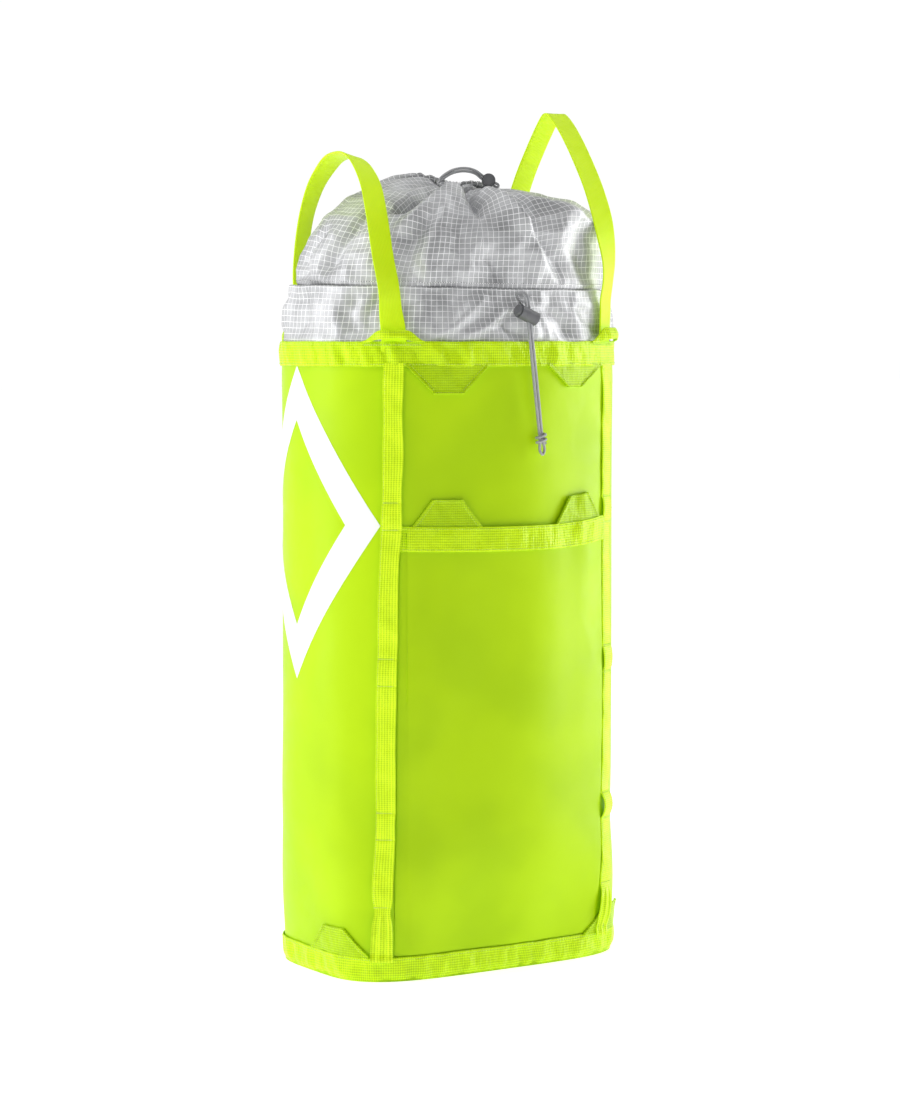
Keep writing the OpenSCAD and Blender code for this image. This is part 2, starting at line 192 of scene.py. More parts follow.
# ---- mesh helpers
def make(name, verts, faces, uv=None, mat=None, sharp=None):
    """A mesh object from mm points; uv is one pair per vertex, in metres of cloth."""
    me = bpy.data.meshes.new(name)
    me.from_pydata((np.asarray(verts, float) * MM).tolist(), [], [tuple(map(int, f)) for f in faces])
    if uv is not None:
        layer = me.uv_layers.new(name="weave")
        idx = np.empty(len(me.loops), int)
        me.loops.foreach_get("vertex_index", idx)
        layer.data.foreach_set("uv", (np.asarray(uv, float)[idx] * MM).ravel())
    me.polygons.foreach_set("use_smooth", [True] * len(me.polygons))
    if sharp:
        me.set_sharp_from_angle(angle=math.radians(sharp))
    if mat is not None:
        me.materials.append(mat)
    return added(name, me)


def quads(a, b, c, d):
    return stack(*np.broadcast_arrays(a, b, c, d)).reshape(-1, 4)


def grid_faces(n, m, ring=False):
    """Faces of an n x m grid of points; the columns of a ring close up."""
    i, j = np.arange(n - 1)[:, None] * m, np.arange(m if ring else m - 1)
    k = (j + 1) % m
    return quads(i + j, i + k, i + m + k, i + m + j)


def shell(name, outer, inner, uv, mat, ring=False, sharp=50):
    """Closed sheet between an outer and an inner grid of points."""
    n, m = outer.shape[:2]
    f = grid_faces(n, m, ring)
    o, t, e = n * m, (n - 1) * m, np.arange(n - 1) * m
    j = np.arange(m if ring else m - 1)
    k, r = (j + 1) % m, e + m - 1
    faces = [f, o + np.roll(f[:, ::-1], 1, axis=1), quads(j, o + j, o + k, k),
             quads(t + j, t + k, o + t + k, o + t + j)]
    if not ring:
        faces += [quads(e, e + m, o + e + m, o + e), quads(r, o + r, o + r + m, r + m)]
    verts, uvs = (np.concatenate([a.reshape(o, -1), b.reshape(o, -1)]) for a, b in ((outer, inner), (uv, uv)))
    return make(name, verts, np.concatenate(faces), uvs, mat, sharp)


def closed_tube(name, rows, uv, mat, sharp=None):
    """Closed tube from n rings of m points."""
    n, m = rows.shape[:2]
    caps = [tuple(range(m))[::-1], tuple(range((n - 1) * m, n * m))]
    return make(name, rows.reshape(-1, 3), [*grid_faces(n, m, True), *caps], uv.reshape(-1, 2), mat, sharp)


def lengths(a, b, step):
    """Stations from a up to b about step apart, closer together at both edges."""
    core = np.linspace(a, b, round((b - a) / step) + 1)
    return np.sort(np.concatenate([core, [a + 0.35, a + 1, b - 1, b - 0.35]]))


def rounded(d, r=0.9):
    """Thickness share at distance d from an edge, so that edges are rolled and not cut."""
    t = np.clip(d / r, 0, 1)
    return 0.25 + 0.75 * np.sqrt(1 - (1 - t) ** 2)


def ripples(x, seed, waves, low, high):
    """Smooth uneven waves along x (mm), about -1 to 1."""
    rng = np.random.RandomState(seed)
    w = rng.uniform(low, high, waves)
    p = rng.uniform(0, 2 * math.pi, waves)
    return sum(np.sin(2 * math.pi * np.asarray(x) / a + b) for a, b in zip(w, p)) / waves ** 0.5


def on_wall(name, S, Z, lift, t, share, uv, mat, ring=False):
    """Layer t thick at lift off the wall over grids S and Z; share thins it towards its edges."""
    mid = lift + t / 2
    return shell(name, wall(S, Z, mid + share * t / 2), wall(S, Z, mid - share * t / 2), uv, mat, ring)


def strip(name, s, z, lift, t, mat, ring=False, rolled=True, ds=0.0, dz=0.0, flip=False):
    """Cloth or webbing on the wall over stations s x heights z. lift, ds and dz may be grids."""
    S, Z = np.meshgrid(s, z)
    share = np.ones_like(S)
    if rolled and not ring:
        share = np.minimum(share, rounded(np.minimum(S - S.min(), S.max() - S)))
    if rolled:
        share = np.minimum(share, rounded(np.minimum(Z - Z.min(), Z.max() - Z)))
    return on_wall(name, S + ds, Z + dz, lift, t, share, stack(*((Z, S) if flip else (S, Z))), mat, ring)


def tube(name, path, d, mat, sides=10):
    """Round cord along mm points, with uv round and along it."""
    p = np.asarray(path, float)
    tan = unit(np.gradient(p, axis=0))
    a = np.linspace(0, 2 * math.pi, sides, endpoint=False)[:, None]
    u, rows = np.cross(tan[0], [0, 1, 0.01]), []
    for q, t in zip(p, tan):
        u = unit(u - np.dot(u, t) * t)
        rows.append(q + d / 2 * (np.cos(a) * u + np.sin(a) * np.cross(t, u)))
    return closed_tube(name, np.array(rows), stack(*np.meshgrid(a * d / 2, run_along(p))), mat, 60)


def spline(points, step):
    """Catmull-Rom line through points, resampled about every step mm."""
    p = np.asarray(points, float)
    q = np.concatenate([[2 * p[0] - p[1]], p, [2 * p[-1] - p[-2]]])
    t, out = np.linspace(0, 1, 24, endpoint=False)[:, None], []
    for i in range(1, len(q) - 2):
        a, b, c, d = q[i - 1:i + 3]
        out.append(0.5 * (2 * b + (c - a) * t + (2 * a - 5 * b + 4 * c - d) * t ** 2
                          + (3 * b - a - 3 * c + d) * t ** 3))
    line = np.concatenate(out + [p[-1:]])
    run = run_along(line[:, :3])
    want = np.linspace(0, run[-1], max(3, int(round(run[-1] / step)) + 1))
    return stack(*(np.interp(want, run, column) for column in line.T))


def stitches(name, *groups, mat=None, slot="webbing"):
    """Thread stitches as small stretched octahedra riding on the bag.

    Each group is lines of mm points, then their pitch, the bare share of it and the thread's thickness.
    """
    verts, faces = [], []
    for line, pitch, gap, d in ((line, *sizes) for lines, *sizes in groups for line in lines):
        points = np.asarray(line, float)
        run = run_along(points)
        at = lambda r: stack(*(np.interp(r, run, column) for column in points.T))
        start = np.arange(0, run[-1] - pitch, pitch)
        for p, q in zip(at(start), at(start + pitch * (1 - gap))):
            t = unit(q - p)
            u = unit(np.cross(t, [0.31, 0.2, 0.93]))
            w = np.cross(t, u)
            m, i = (p + q) / 2, len(verts)
            verts += [p, q] + [m + d / 2 * (x * u + y * w) for x, y in ((1, 0), (0, 1), (-1, 0), (0, -1))]
            faces += [(i, i + 2 + (k + 1) % 4, i + 2 + k) for k in range(4)]
            faces += [(i + 1, i + 2 + k, i + 2 + (k + 1) % 4) for k in range(4)]
    return on_bag(make(name, verts, faces, None, mat or THREAD), slot)


# ---- materials
def linear(r, g, b):
    f = lambda c: c / 12.92 if c <= 0.04045 else ((c + 0.055) / 1.055) ** 2.4
    return (f(r / 255), f(g / 255), f(b / 255), 1)


class Nodes:
    """Short names for building a node tree."""

    def __init__(self, tree):
        self.t = tree

    def node(self, kind, out=0, props=(), **ins):
        n = self.t.nodes.new("ShaderNode" + kind)
        for k, v in props:
            setattr(n, k, v)
        for k, v in ins.items():
            key = int(k[1:]) if k[0] == "i" and k[1:].isdigit() else k
            if isinstance(v, bpy.types.NodeSocket):
                self.t.links.new(v, n.inputs[key])
            else:
                n.inputs[key].default_value = v
        return n.outputs[out]

    def math(self, op, a, b=0.0):
        return self.node("Math", 0, [("operation", op)], i0=a, i1=b)

    def wave(self, x, pitch):
        return self.math("SINE", self.math("MULTIPLY", x, 2 * math.pi / pitch))

    def uv(self):
        return self.node("UVMap", 0, [("uv_map", "weave")])

    def place(self):
        return self.node("TexCoord", "Object")

    def split(self, vec):
        return self.node("SeparateXYZ", i0=vec).node.outputs

    def noise(self, vec, scale, detail=3.0, rough=0.5):
        return self.node("TexNoise", 0, Vector=vec, Scale=scale, Detail=detail, Roughness=rough)

    def ramp(self, v, lo, hi, a, b):
        """Smooth step: a where v is lo, b where it is hi."""
        return self.node("MapRange", 0, [("interpolation_type", "SMOOTHSTEP")],
                         i0=v, i1=lo, i2=hi, i3=a, i4=b)

    def mix(self, f, a, b):
        return self.node("Mix", 2, [("data_type", "RGBA")], i0=f, i6=a, i7=b)

    def bump(self, height, strength, dist, **under):
        return self.node("Bump", 0, Height=height, Strength=strength, Distance=dist, **under)


class Look(Nodes):
    """A material's nodes round its shader, whose plain values are given by name."""

    def __init__(self, name, **sockets):
        self.mat = bpy.data.materials.new(name)
        self.mat.use_nodes = True
        super().__init__(self.mat.node_tree)
        self.bsdf = self.t.nodes["Principled BSDF"]
        for k, v in sockets.items():
            self.bsdf.inputs[k.replace("_", " ")].default_value = v

    def set(self, **sockets):
        for k, v in sockets.items():
            self.t.links.new(v, self.bsdf.inputs[k.replace("_", " ")])
        return self.mat


def tarp_material():
    """Coated cloth: soft colour clouds, and a fine grain over the scrim that shows through."""
    m = Look("tarp", Roughness=0.42, Specular_IOR_Level=0.16)
    p = m.place()
    colour = m.mix(m.ramp(m.noise(p, 9, 2), 0.35, 0.65, 0.0, 1.0), linear(177, 218, 1), linear(188, 228, 3))
    scrim = m.node("TexVoronoi", 0, Vector=p, Scale=700.0)
    grain = m.bump(m.noise(p, 1500, 2), 0.12, 0.0004)
    soft = m.bump(m.noise(p, 26, 2), 0.2, 0.004, Normal=m.bump(scrim, 0.05, 0.0003, Normal=grain))
    return m.set(Base_Color=colour, Roughness=m.ramp(m.noise(p, 60, 3), 0.3, 0.7, 0.38, 0.46), Normal=soft)


def web_material(name, lit, shaded, slack=1.15, painted_glow=0.09, weave=(0.0026, 0.0021)):
    """Flat woven webbing: yarn lines along it, finer ribs across it, soft puckers; the weave's grooves are
    painted darker as painted shade, and a painted glow brightens its fluorescent colour like light.
    """
    # Emission is a painted glow: it lights up the webbing though the webbing is no lamp.
    m = Look(name, Roughness=0.4, Specular_IOR_Level=0.2, Sheen_Weight=0.06, Sheen_Roughness=0.4,
             Emission_Color=linear(196, 232, 4), Emission_Strength=painted_glow)
    uv = m.uv()
    u, v, _ = m.split(uv)
    shift = m.math("MULTIPLY", m.noise(uv, 260, 2), 0.0004)
    warp, rib = (m.wave(m.math("ADD", c, shift), pitch) for c, pitch in zip((u, v), weave))
    cell = m.math("ADD", m.math("MULTIPLY", warp, 0.3), m.math("MULTIPLY", rib, 0.26))
    h = m.math("ADD", cell, 0.5)
    # The shaded colour falls in the weave's grooves, where h is low: painted shade; the noise adds random
    # tone.
    shade = m.math("ADD", m.math("MULTIPLY", h, 0.55), m.math("MULTIPLY", m.noise(uv, 45, 3), 0.45))
    narrow = m.node("VectorMath", 0, [("operation", "MULTIPLY")], i0=uv, i1=(0.45, 1.0, 1.0))
    return m.set(Base_Color=m.mix(m.ramp(shade, 0.18, 0.82, 0.0, 1.0), linear(*shaded), linear(*lit)),
                 Normal=m.bump(h, 0.55, 0.0005, Normal=m.bump(m.noise(narrow, 75, 3), slack, 0.004)))


RIPSTOP_GRID = 0.0057


def ripstop_material(name, low, high):
    """Light coated nylon with a raised white grid; it glints like a thin metal film."""
    m = Look(name, Specular_IOR_Level=0.4, Metallic=0.26)
    p, uv = m.place(), m.uv()
    line = m.math("MAXIMUM", *(m.ramp(m.math("PINGPONG", c, RIPSTOP_GRID / 2), 0.00014, 0.0004, 1.0, 0.0)
                               for c in m.split(uv)[:2]))
    cloth = m.mix(m.ramp(m.noise(p, 24, 3), 0.3, 0.7, 0.0, 1.0), linear(*low), linear(*high))
    rough = m.math("ADD", m.math("MULTIPLY", line, 0.25), m.ramp(m.noise(p, 70, 2), 0.3, 0.7, 0.4, 0.5))
    crinkle = m.bump(m.noise(p, 60, 4, 0.6), 0.28, 0.003)
    fine = m.bump(m.noise(uv, 900, 2), 0.12, 0.0004, Normal=crinkle)
    return m.set(Base_Color=m.mix(line, cloth, linear(252, 252, 253)), Roughness=rough,
                 Normal=m.bump(line, 0.4, 0.0003, Normal=fine))


def cord_material():
    """Braided cord: two sets of yarns crossing."""
    m = Look("cord", Roughness=0.7)
    u, v, _ = m.split(m.uv())
    a, b = (m.wave(m.math(op, v, u), 0.0022) for op in ("ADD", "SUBTRACT"))
    h = m.math("MULTIPLY", m.math("ADD", m.math("MULTIPLY", a, b), 1.0), 0.5)
    return m.set(Base_Color=m.mix(h, linear(110, 111, 114), linear(214, 215, 218)),
                 Normal=m.bump(h, 0.6, 0.0005))


def plain_material(name, rgb, rough, grain=900.0, metallic=0.0, shade=0.86):
    """Moulded or painted surface with a fine grain and slight colour clouds."""
    m = Look(name, Metallic=metallic)
    p = m.place()
    n = m.noise(p, grain, 2)
    dark = tuple(c * shade for c in linear(*rgb)[:3]) + (1,)
    return m.set(Base_Color=m.mix(m.ramp(m.noise(p, 160, 2), 0.35, 0.65, 0, 1), dark, linear(*rgb)),
                 Roughness=m.ramp(n, 0.3, 0.7, rough - 0.05, rough + 0.05), Normal=m.bump(n, 0.12, 0.0003))


TARP = tarp_material()
# After the lit and shaded colours of each webbing come its pucker strength, its painted glow strength and its
# weave pitches.
WEB = web_material("webbing", (216, 250, 18), (168, 208, 2))
# The handles' webbing is a brighter copy with more painted glow: painted light standing in for light through
# the thin strap.
LIT_HANDLE_WEB = web_material("handle_webbing_lit", (216, 248, 24), (200, 236, 10), 0.15, 0.18, (0.00165, 0.00105))
CHAIN_WEB = web_material("chain_webbing", (226, 255, 40), (172, 210, 2), 0.5, 0.14)
TAB_WEB = web_material("tab_webbing", (192, 229, 6), (156, 196, 1), 0.8, 0.04, (0.0024, 0.0019))
RIPSTOP = ripstop_material("ripstop", (168, 169, 171), (204, 205, 207))
# A darker copy of the ripstop for the hem slack: painted shade, and partly the duller uncoated inside of the
# hem.
SHADED_HEM_CLOTH = ripstop_material("ripstop_hem_shaded", (128, 129, 131), (176, 177, 179))
CORD = cord_material()
THREAD = plain_material("thread", (226, 250, 118), 0.5)
HOOD_THREAD = plain_material("hood_thread", (70, 71, 74), 0.6)
LOCK = plain_material("lock_plastic", (104, 105, 108), 0.34)
STEEL = plain_material("spring_steel", (190, 190, 190), 0.3, metallic=1.0)
BOARD = plain_material("stiffener", (52, 53, 55), 0.6)
PRINT = plain_material("white_print", (250, 251, 251), 0.45, 300.0, shade=0.975)


def on_bag(ob, slot, *nodes):
    """Rides a piece on the bag, in place of its CAD nodes; its slot is not used."""
    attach(ob, "bag")
    if nodes:
        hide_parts(*nodes)
    return ob


def dress(node, mat):
    """Gives a CAD node that keeps its shape its material."""
    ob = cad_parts[node]
    ob.data.materials.clear()
    ob.data.materials.append(mat)
    return ob


# ---- drawcords
SIDE_LEAN = math.radians(7)
STRAND = CORD_D / 2 + 0.1
TOP_TURN, TOP_DIP = math.radians(237.4), math.radians(-30)


def hang(x, y, z):
    """Beside the side lock's cord line: z along the cord, x across, y out."""
    c, s = math.cos(SIDE_LEAN), math.sin(SIDE_LEAN)
    return SIDE_LOCK + [x * c - z * s, y, x * s + z * c]


def side_strand(side):
    """One strand, from inside the band down through the lock to the loop under the knot."""
    out = [hang(side * STRAND, y, z) for y, z in ((16.2, 22), (6, 22.5), (1.6, 19.5), (0, 14), (0, 4))]
    for z in range(-12, -125, -14):
        part = 0.25 * arched((-z - 10) / 106)
        out.append(hang(side * (STRAND + part), 0, z))
    return out + [hang(side * 2.6, 0, -131), hang(side * 2.7, 0, -136)]


def lock_point(u, w):
    """Beside the crown lock: u along its cord hole, w across it."""
    l = np.array([-math.sin(TOP_TURN), math.cos(TOP_TURN), 0])
    up = np.array([0, 0, 1.0])
    return TOP_LOCK + u * (math.cos(TOP_DIP) * l + math.sin(TOP_DIP) * up) \
        + w * (math.cos(TOP_DIP) * up - math.sin(TOP_DIP) * l)


def crown_strand(side):
    """One strand, from the mouth in a low arc through the crown lock."""
    arc = [(-7, 6, 806), (-3, 3.6, 810), (4, 0.6, 814.4), (12, -3, 816.6), (20, -6.6, 816.4), (27, -9.6, 814)]
    return [np.array(p) + [0, 0, side * STRAND] for p in arc] \
        + [lock_point(u, side * w * STRAND) for u, w in ((-8, 1), (0, 1), (7, 1), (10.5, 1.15))]


side_path = spline(side_strand(-1) + [hang(0, 0, -140)] + side_strand(1)[::-1], 1.6)
top_path = spline(crown_strand(1) + [lock_point(12, 0)] + crown_strand(-1)[::-1], 1.4)
knot_path = [hang(4.9 * math.cos(a), 4.4 * math.sin(a), -124 + 3.2 * (a / math.pi - 2.2) * 0.72)
             for a in np.linspace(0, 4.4 * math.pi, 90)]
side_cord = on_bag(tube("side_drawcord_cord", side_path, CORD_D, CORD), "cord", "side_drawcord")
knot = on_bag(tube("side_cord_knot_wrap", knot_path, 2.7, CORD), "cord", "side_cord_knot")
top_cord = on_bag(tube("top_drawcord_cord", top_path, CORD_D, CORD), "cord", "top_drawcord")
for ob, path, knots in ((side_cord, side_path, [knot]), (top_cord, top_path, [])):
    float(run_along(path)[-1]) * MM
    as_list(knots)

# ---- tarp panels
Z_WALL = np.linspace(WEB_IN, RIM_H - 1, 118)


def panel(side, node, s0, s1):
    """One wall between two chains."""
    s0, s1 = s0 + 0.2, s1 - 0.2
    s = np.linspace(s0, s1, round((s1 - s0) / 5.5) + 1)
    ob = strip(side + "_wall", s, Z_WALL, 0, TARP_T, TARP, rolled=False)
    on_bag(ob, "tarp", node)


panel("front", "front_panel", -CHAIN_S, CHAIN_S)
panel("right", "right_side_panel", CHAIN_S, REAR_S)
panel("back", "back_panel", REAR_S, HALF_GIRTH + CHAIN_S)
panel("left", "left_side_panel", -REAR_S, -CHAIN_S)
dress("base_panel", TARP)
dress("base_stiffener", BOARD)

# ---- bindings
RING = np.linspace(-HALF_GIRTH, HALF_GIRTH, 420, endpoint=False)


def binding(name, node, z0, z1, seed, wrap=0.0):
    """Webbing sewn all round, buckled a little between its two seams."""
    z = lengths(z0, z1, 2.6)
    S, Z = np.meshgrid(RING, z)
    v = (Z - z0) / (z1 - z0)
    buckle = 1.25 * ripples(S + 7 * v, seed, 8, 14, 60) * arched(v) ** 0.7
    slack = 0.45 * ripples(S + 40 * v, seed + 1, 6, 30, 110)
    lift = WEB_IN + 0.4 + buckle + slack - wrap * smooth(1 - v * 3.2)
    edge = 0.5 * ripples(S, seed + 2, 6, 22, 80) * (v - 0.5) * 0.8
    on_bag(strip(name, RING, z, lift, WEB_T, WEB, ring=True, dz=edge, flip=True), "webbing", node)


binding("rim_webbing", "rim_binding", RIM_H - WEB_W, RIM_H, 11)
binding("base_webbing", "base_binding", 0.3, WEB_W + 0.5, 31, 2.4)

# ---- pocket
def course(z):
    """The front left chain wanders towards the side on its way down."""
    return np.interp(z, [0, 30, 77, 145, 220, 299, 373, 430, 454, 520, 640],
                     [-13.5, -13, -10, -9, -8, -7, -6, -4, -2.5, -1, 0])


POCKET_HALF = CHAIN_S - CHAIN_W / 2 - 1


def gape(s, z):
    """How far the pocket stands off: a little in the middle, more where its right end lifts."""
    u = np.clip(np.abs(s) / POCKET_HALF, 0, 1)
    middle = 3.0 * np.cos(u * math.pi / 2) ** 2
    lifted = 5.5 * bell(s, 92, 20) * (1 - u ** 10)
    return (middle + lifted) * np.clip(z / POCKET_H, 0, 1.1) ** 5


def sag(s, z):
    """The mouth hangs a little lower in the middle, and its right end rides up."""
    return (1.6 * (s / POCKET_HALF) ** 2 - 0.2 + 3.6 * smooth((s - 50) / 70)) * smooth((z - 300) / 130)


s_pocket = lengths(-POCKET_HALF - 12, POCKET_HALF, 4.5)


def pocket_layer(name, z, lift, t, mat, buckle=lambda S, v: 0.0, flip=False):
    """A layer of the pocket over heights z, tucked in under the chain where that wanders off."""
    S, Z = np.meshgrid(s_pocket, z)
    shy = smooth((-POCKET_HALF - S) / 2) * (12 - np.maximum(0, -course(Z)))
    tuck = 0.9 * smooth((-POCKET_HALF + 1 - S) / 4)
    off = lift + gape(S, Z) + buckle(S, (Z - POCKET_H + WEB_W) / WEB_W) - tuck
    return strip(name, s_pocket, z, off, t, mat, ds=shy * 0.8, dz=sag(S, Z), flip=flip)


def trim_buckle(S, v):
    """The mouth trim's puckers, stronger where a tab is sewn on."""
    pucker = bell(np.abs(S), POCKET_HALF - TAB_W / 2, 24) * smooth((v - 0.35) / 0.4)
    return 0.75 * ripples(S, 51, 7, 14, 50) * arched(v) ** 0.7 * (1 + 1.6 * pucker)


z_pocket = np.concatenate([np.linspace(WEB_W + 2, 400, 70), np.linspace(404, POCKET_H - 8, 12)])
pocket = on_bag(pocket_layer("pocket_front", z_pocket, WEB_IN, TARP_T, TARP), "tarp", "pocket_panel")
on_bag(pocket_layer("pocket_webbing", lengths(POCKET_H - WEB_W, POCKET_H, 2.6), TRIM_IN, WEB_T, WEB,
                    trim_buckle, flip=True), "webbing", "pocket_trim")


# ---- gear chains
def chain(node, s0, seed, tail_lift=0.8, first_loop=1.9, wander=0.0):
    """A chain sewn down between its open loops; below TAIL_H it is gathered into a pleated tail."""
    z = np.unique(np.concatenate(
        [np.linspace(WEB_W - 4, TAIL_H, 40), np.linspace(TAIL_H, RIM_H - WEB_W + 4, 220)]
        + [np.linspace(l - 3, l + LOOP_H + 3, 40) for l in LOOPS]))
    u = lengths(-9.6, 9.6, 1.4)
    U, Z = np.meshgrid(u, z)
    tacks = [TAIL_H] + [v for l in LOOPS for v in (l, l + LOOP_H)]
    loop = -0.8 * bell(Z, TAIL_H, 2.2)
    for l in LOOPS:
        open_by = first_loop if l == LOOPS[0] else 1.9
        loop += open_by * arched((Z - l) / LOOP_H) ** 0.8
        loop -= 0.75 * (bell(Z, l, 1.5) + bell(Z, l + LOOP_H, 1.5))
    t, run = smooth((TAIL_H - Z) / 10), np.clip((TAIL_H - Z) / 52, 0, 1)
    pleat = t * (1.5 * np.cos(U * 0.78 + 0.6 + 1.2 * run) * smooth((TAIL_H - Z) / 22) * (1 - 0.45 * run)
                 + tail_lift * arched(run))
    over = 2.6 * smooth((WEB_W + 6 - Z) / 8)
    wave = 0.75 * ripples(Z + 0.8 * U, seed, 6, 24, 80) * (1 - np.minimum(1, 3 * np.abs(loop)))
    narrow = 1 - 0.2 * bell(Z, TAIL_H - 4, 9) * (Z < TAIL_H + 30) - 0.04 * t
    narrow -= 0.03 * ripples(Z, seed + 3, 4, 30, 120) + 0.05 * arched((Z - LOOPS[0]) / LOOP_H)
    cup = 0.2 * (1 - (2 * U / CHAIN_W) ** 2) + (1.3 * smooth((U - 3) / 6) if s0 == -CHAIN_S else 0)
    S = s0 + U * narrow + 0.35 * ripples(Z, seed + 1, 4, 90, 260) + wander * course(Z)
    lift = WEB_IN + loop + pleat + over + wave * 0.5 + cup + 0.35 + TARP_T * (wander > 0)
    share = np.minimum(rounded(CHAIN_W / 2 - np.abs(U), 0.7), rounded(np.minimum(Z - Z.min(), Z.max() - Z)))
    on_bag(on_wall(node + "_web", S, Z, lift, WEB_T, share, stack(U, Z), CHAIN_WEB), "webbing", node)
    lifts = lift[:, len(u) // 2] + WEB_T
    top = lambda uu, zz: wall(s0 + uu * 0.97 + wander * course(zz), zz, np.interp(zz, z, lifts) + 0.15)
    edge, zig = np.arange(TAIL_H + 4, RIM_H - WEB_W - 1, 1.6), np.arange(-8.6, 8.7, 0.75)
    zag = 0.9 * np.where(np.arange(len(zig)) % 2, 1, -1)
    stitches(node + "_stitching", ([top(k * 8.3 + 0 * edge, edge) for k in (-1, 1)], 3.0, 0.25, 0.7),
             ([top(zig, level + zag) for level in tacks], 1.9, 0.0, 0.95))


chain("daisy_chain_front_left", -CHAIN_S, 61, wander=1.0)
chain("daisy_chain_front_right", CHAIN_S, 62, 3.4, 4.4)
chain("daisy_chain_rear_left", -REAR_S, 63)
chain("daisy_chain_rear_right", REAR_S, 64)


# ---- tabs
def tab(node, s0, z0, z1, lift, tip=TAB_TIP, t=1.7, lean=0.0, bow=lambda u: 0.0, rise=lambda s: 0.0):
    """Webbing tab from z0 to its free edge at z1: slanted ends with a folded edge, stitched all round."""
    u = np.concatenate([[-1, -0.992, -0.975], np.linspace(-0.95, 0.95, 39), [0.975, 0.992, 1]])
    v = np.concatenate([[0, 0.03], np.linspace(0.07, 0.93, 20), [0.955, 0.975, 0.99, 1]])
    U, V = np.meshgrid(u, v)
    high = abs(z1 - z0)
    half = mix(TAB_W, tip, np.clip((V - 0.1) / 0.9, 0, 1)) / 2
    S, Z = s0 + U * half + lean * V, mix(z0, z1, V)
    d_end, d_tip = (1 - np.abs(U)) * half * 0.72, (1 - V) * high
    inner_d = np.minimum(d_end, d_tip)
    fold = 1.3 * (smooth(d_end / 0.5) - smooth((d_end - 2.4) / 0.7)) \
        + 0.7 * (smooth(d_tip / 0.5) - smooth((d_tip - 1.6) / 0.6))
    mid = lift + t / 2 + 0.3 * ripples(S * 1.3 + Z, 7, 4, 22, 60) * smooth(inner_d / 6) + bow(U)
    share = rounded(np.minimum(inner_d, np.abs(Z - z0) + 0.3), 0.6)
    Z = Z + rise(S)
    grids = [wall(S, Z, mid + share * t / 2 + fold), wall(S, Z, mid - share * t / 2), stack(Z, S)]
    if z1 < z0:
        grids = [g[::-1] for g in grids]
    on_bag(shell(node + "_web", *grids, TAB_WEB), "webbing", node)
    k, across = np.linspace(0, 1, 60), np.linspace(-1, 1, 40)
    lines = [(s0 + lean * k + c * (mix(TAB_W, tip, k) / 2 - 2.6), mix(z0, z1, k * (1 - 2.2 / high)))
             for c in (-1, 1)]
    lines.append((s0 + lean + across * (tip / 2 - 1.5), mix(z0, z1, 1 - 1.8 / high) + 0 * across))
    seams = [wall(s, z + rise(s), lift + t + 0.35 + bow((s - s0) / (TAB_W / 2))) for s, z in lines]
    stitches(node + "_stitching", (seams, 2.6, 0.25, 0.7))


def keeper(end, s0, high=10.4, out=8.2):
    """Webbing arched over a handle's foot: both ends sewn down, its lower edge standing off the rim."""
    u, v = np.linspace(-1, 1, 61), np.concatenate([[0, 0.04], np.linspace(0.1, 0.9, 11), [0.96, 1]])
    U, V = np.meshgrid(u, v)
    arch, flat = np.cos(U * math.pi / 2) ** 2, 1 - smooth((np.abs(U) - 0.42) / 0.58)
    low = RIM_H - 1.5 + 4.6 * arch ** 0.8 + 0.5 * np.sin(U * 9)
    S, Z = s0 + U * 30, mix(low, RIM_H + 0.6 + high * flat, V)
    lift = WEB_IN + WEB_T + 0.9 + out * arch ** 0.75 + 1.3 * arched(V) * arch - 3.4 * V ** 2 * arch
    ob = on_wall(f"keeper_{end}_web", S, Z, lift - WEB_T / 2, WEB_T, rounded(np.minimum(V, 1 - V) * 12, 0.8),
                 stack(Z, S), WEB)
    on_bag(ob, "webbing", f"handle_keeper_{end}")
    ss = s0 + np.linspace(-29, 29, 80)
    stitches(f"keeper_{end}_stitching",
             ([wall(ss, RIM_H - 3.2 - 0.8 * k, WEB_IN + WEB_T + 1.1) for k in (0, 1)], 2.4, 0.15, 0.8))


TAB_S = POCKET_HALF - TAB_W / 2
RIM_EDGE, BASE_EDGE = RIM_H - WEB_W + 3, WEB_W - 1
tab("rim_tab_left", -TAB_S + 1, RIM_EDGE, RIM_EDGE - TAB_H - 3, WEB_IN + 0.2)
tab("rim_tab_right", TAB_S - 2, RIM_EDGE, RIM_EDGE - 24, WEB_IN - 0.2, tip=22, lean=-3)
for side, s0 in (("left", -TAB_S), ("right", TAB_S)):
    tab(f"pocket_tab_{side}", s0, POCKET_H - 12, POCKET_H + TAB_H, WEB_IN - 0.1, t=1.3,
        bow=lambda U: gape(s0 + U * TAB_W / 2, POCKET_H) * 0.8 + 0.3, rise=lambda s: sag(s, 450))
tab("base_tab_left", -CHAIN_S - CHAIN_W / 2 - 14 - TAB_W / 2, BASE_EDGE, BASE_EDGE + TAB_H + 2, WEB_IN - 0.2)
tab("base_tab_right", CHAIN_S + 18, BASE_EDGE, BASE_EDGE + TAB_H + 2, WEB_IN + 1.1, t=1.2)
keeper("front_left", -CHAIN_S)
keeper("front_right", CHAIN_S, 13.5, 10.5)
keeper("rear_left", -REAR_S)
keeper("rear_right", REAR_S)

